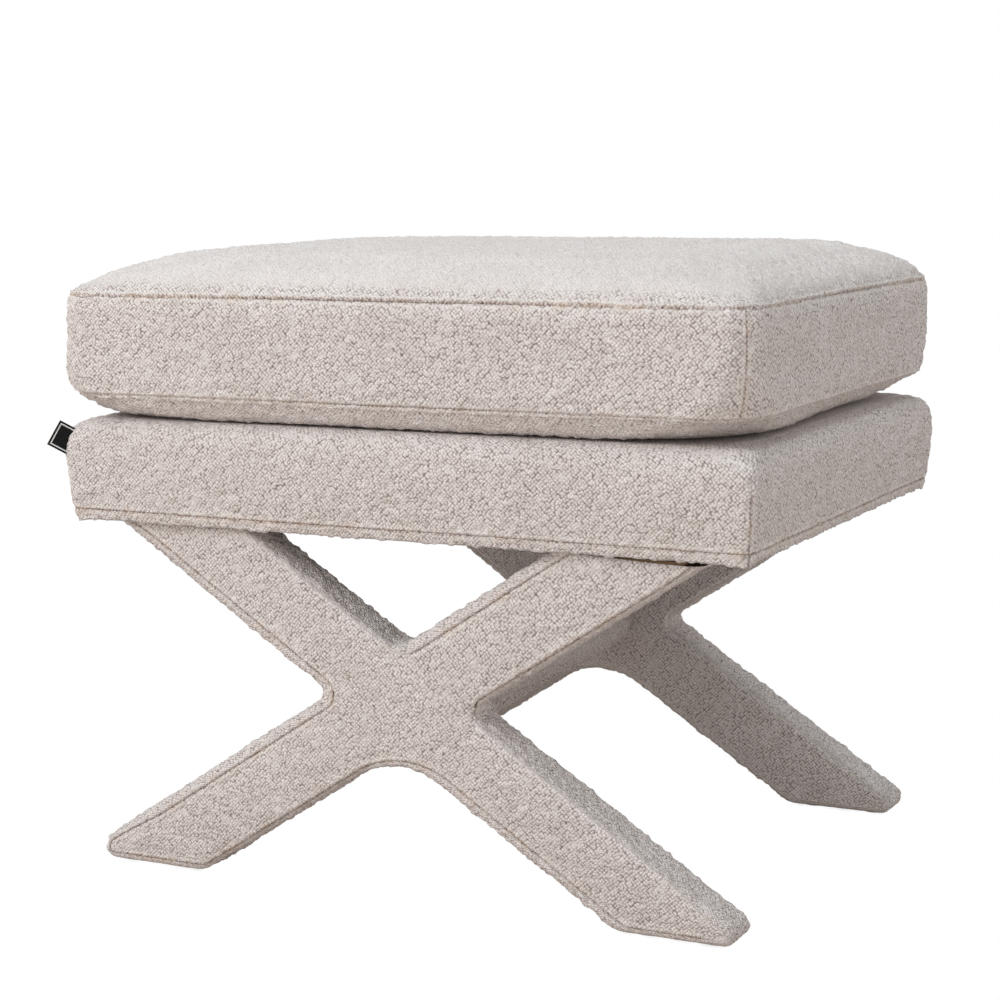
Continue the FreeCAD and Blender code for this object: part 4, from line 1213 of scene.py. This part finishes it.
NODE_SLOTS = {
    "hardwood": [
        "front_rising_board", "front_falling_board", "rear_rising_board", "rear_falling_board",
        "stretcher_core", "stretcher_dowels", "deck_rail_front", "deck_rail_rear",
        "deck_rail_left", "deck_rail_right", "corner_blocks", "deck_bearer",
    ],
    "plywood": ["deck_panel"],
    "steel": [
        "stretcher_bolts", "stretcher_barrel_nuts", "glide_nails", "hanger_bolts",
        "threaded_inserts", "corner_block_screws", "rail_screws", "panel_screws",
        "dust_cover_staples",
    ],
    "glide_nylon": ["glide_caps"],
    "zip_nylon": ["zip_coils"],
    "zip_metal": ["zip_stops", "zip_slider", "zip_pull"],
}
for slot, names in NODE_SLOTS.items():
    for name in names:
        wear(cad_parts[name], slot)


def cover(thing, nodes, slot="boucle"):
    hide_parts(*nodes)
    wear(thing, slot)


for thing, nodes in cushion_covers:
    cover(thing, nodes)
for thing in deck_pieces:
    cover(thing, ["deck_cover", "deck_side_padding", "deck_foam"])
cover(band_piece, ["deck_bottom_band"])
for thing, nodes in cross_covers:
    cover(thing, nodes)
cover(stretcher_piece, ["stretcher_cover", "stretcher_wadding"])
cover(dust_piece, ["dust_cover"], "underlining")
cover(tag_piece, ["tag"], "tag_cloth")
cover(tape_piece, ["zip_tapes"], "zip_tape")

# Camera, light and floor

CAMERA_TURN, CAMERA_TILT, CAMERA_ROLL = 26.24, 8.36, -0.53
CAMERA_PLACE = (0.87405, -1.80093, 0.58877)
CAMERA_LENS = 84.84

scene = bpy.context.scene
turn, tilt, roll = map(math.radians, (CAMERA_TURN, CAMERA_TILT, CAMERA_ROLL))
back = Vector((math.sin(turn) * math.cos(tilt), -math.cos(turn) * math.cos(tilt), math.sin(tilt)))
right = Vector((math.cos(turn), math.sin(turn), 0.0))
up = back.cross(right)
axis_x = right * math.cos(roll) + up * math.sin(roll)
axis_y = up * math.cos(roll) - right * math.sin(roll)
lens = bpy.data.cameras.new("camera")
lens.lens = CAMERA_LENS
lens.sensor_width = 36.0
camera = bpy.data.objects.new("camera", lens)
scene.collection.objects.link(camera)
place = Matrix((axis_x, axis_y, back)).transposed().to_4x4()
place.translation = Vector(CAMERA_PLACE)
camera.matrix_world = place
scene.camera = camera


def lamp(name, energy, size, position, target, colour):
    light = bpy.data.lights.new(name, "AREA")
    light.energy = energy
    light.shape = "RECTANGLE"
    light.size, light.size_y = size
    light.color = colour
    thing = bpy.data.objects.new(name, light)
    thing.location = position
    aim = Vector(target) - Vector(position)
    thing.rotation_euler = aim.to_track_quat("-Z", "Y").to_euler()
    scene.collection.objects.link(thing)
    return thing


lamp("key", 49.5, (1.6, 1.6), (-1.5, -2.0, 2.3), (0, 0, 0.3), (0.995, 1.0, 1.0))
lamp("top", 15.0, (2.4, 2.4), (0.0, 0.2, 2.6), (0, 0, 0.4), (0.84, 0.95, 1.0))
lamp("front", 12.0, (2.2, 1.2), (0.6, -3.0, 0.7), (0, 0, 0.2), (1.0, 0.985, 0.97))
lamp("side", 7.6, (1.6, 1.4), (2.4, 0.4, 1.3), (0, 0, 0.3), (1.0, 0.99, 0.985))

world = bpy.data.worlds.new("studio")
scene.world = world
air = Tree(world)
air.nodes.clear()
rise = air.add("SeparateXYZ", {0: air.add("TexCoord")["Generated"]})["Z"]
rise = air.scaled(rise, 0.5, 0.5, clamp=True)
stops = [(0.45, (1.0, 0.965, 0.93)), (0.6, (1.0, 0.995, 0.985)), (1.0, (0.90, 0.97, 1.0))]
sky = air.add("Background", {"Color": air.ramp(rise, *stops), "Strength": 0.53})
white = air.add("Background", {"Color": (1, 1, 1), "Strength": 1.0})
air.for_camera(sky[0], white[0], "OutputWorld")

floor_mesh = bpy.data.meshes.new("floor")
floor_mesh.from_pydata([(-4, -4, 0), (4, -4, 0), (4, 4, 0), (-4, 4, 0)], [], [(0, 1, 2, 3)])
floor = bpy.data.objects.new("floor", floor_mesh)
scene.collection.objects.link(floor)
floor_look = bpy.data.materials.new("floor")
ground = Tree(floor_look)
ground.nodes.clear()
matte = ground.add("BsdfDiffuse", {"Color": (0.64, 0.56, 0.51)})
# The camera sees the floor as a white glow with a painted shadow, darkened by ambient occlusion where the
# feet stand close; all other rays see the matte floor.
contact_shadow = ground.add("AmbientOcclusion", {"Distance": 0.0025}, samples=8)["AO"]
seen = ground.ramp(contact_shadow, (0.1, (0.10, 0.09, 0.08)), (0.4, (0.6, 0.59, 0.58)), (0.62, 1.0))
floor_glow = ground.add("Emission", {"Color": seen})
ground.for_camera(matte[0], floor_glow[0], "OutputMaterial")
floor_mesh.materials.append(floor_look)

scene.view_settings.view_transform = "Standard"
scene.view_settings.look = "None"
scene.view_settings.exposure = 0.0
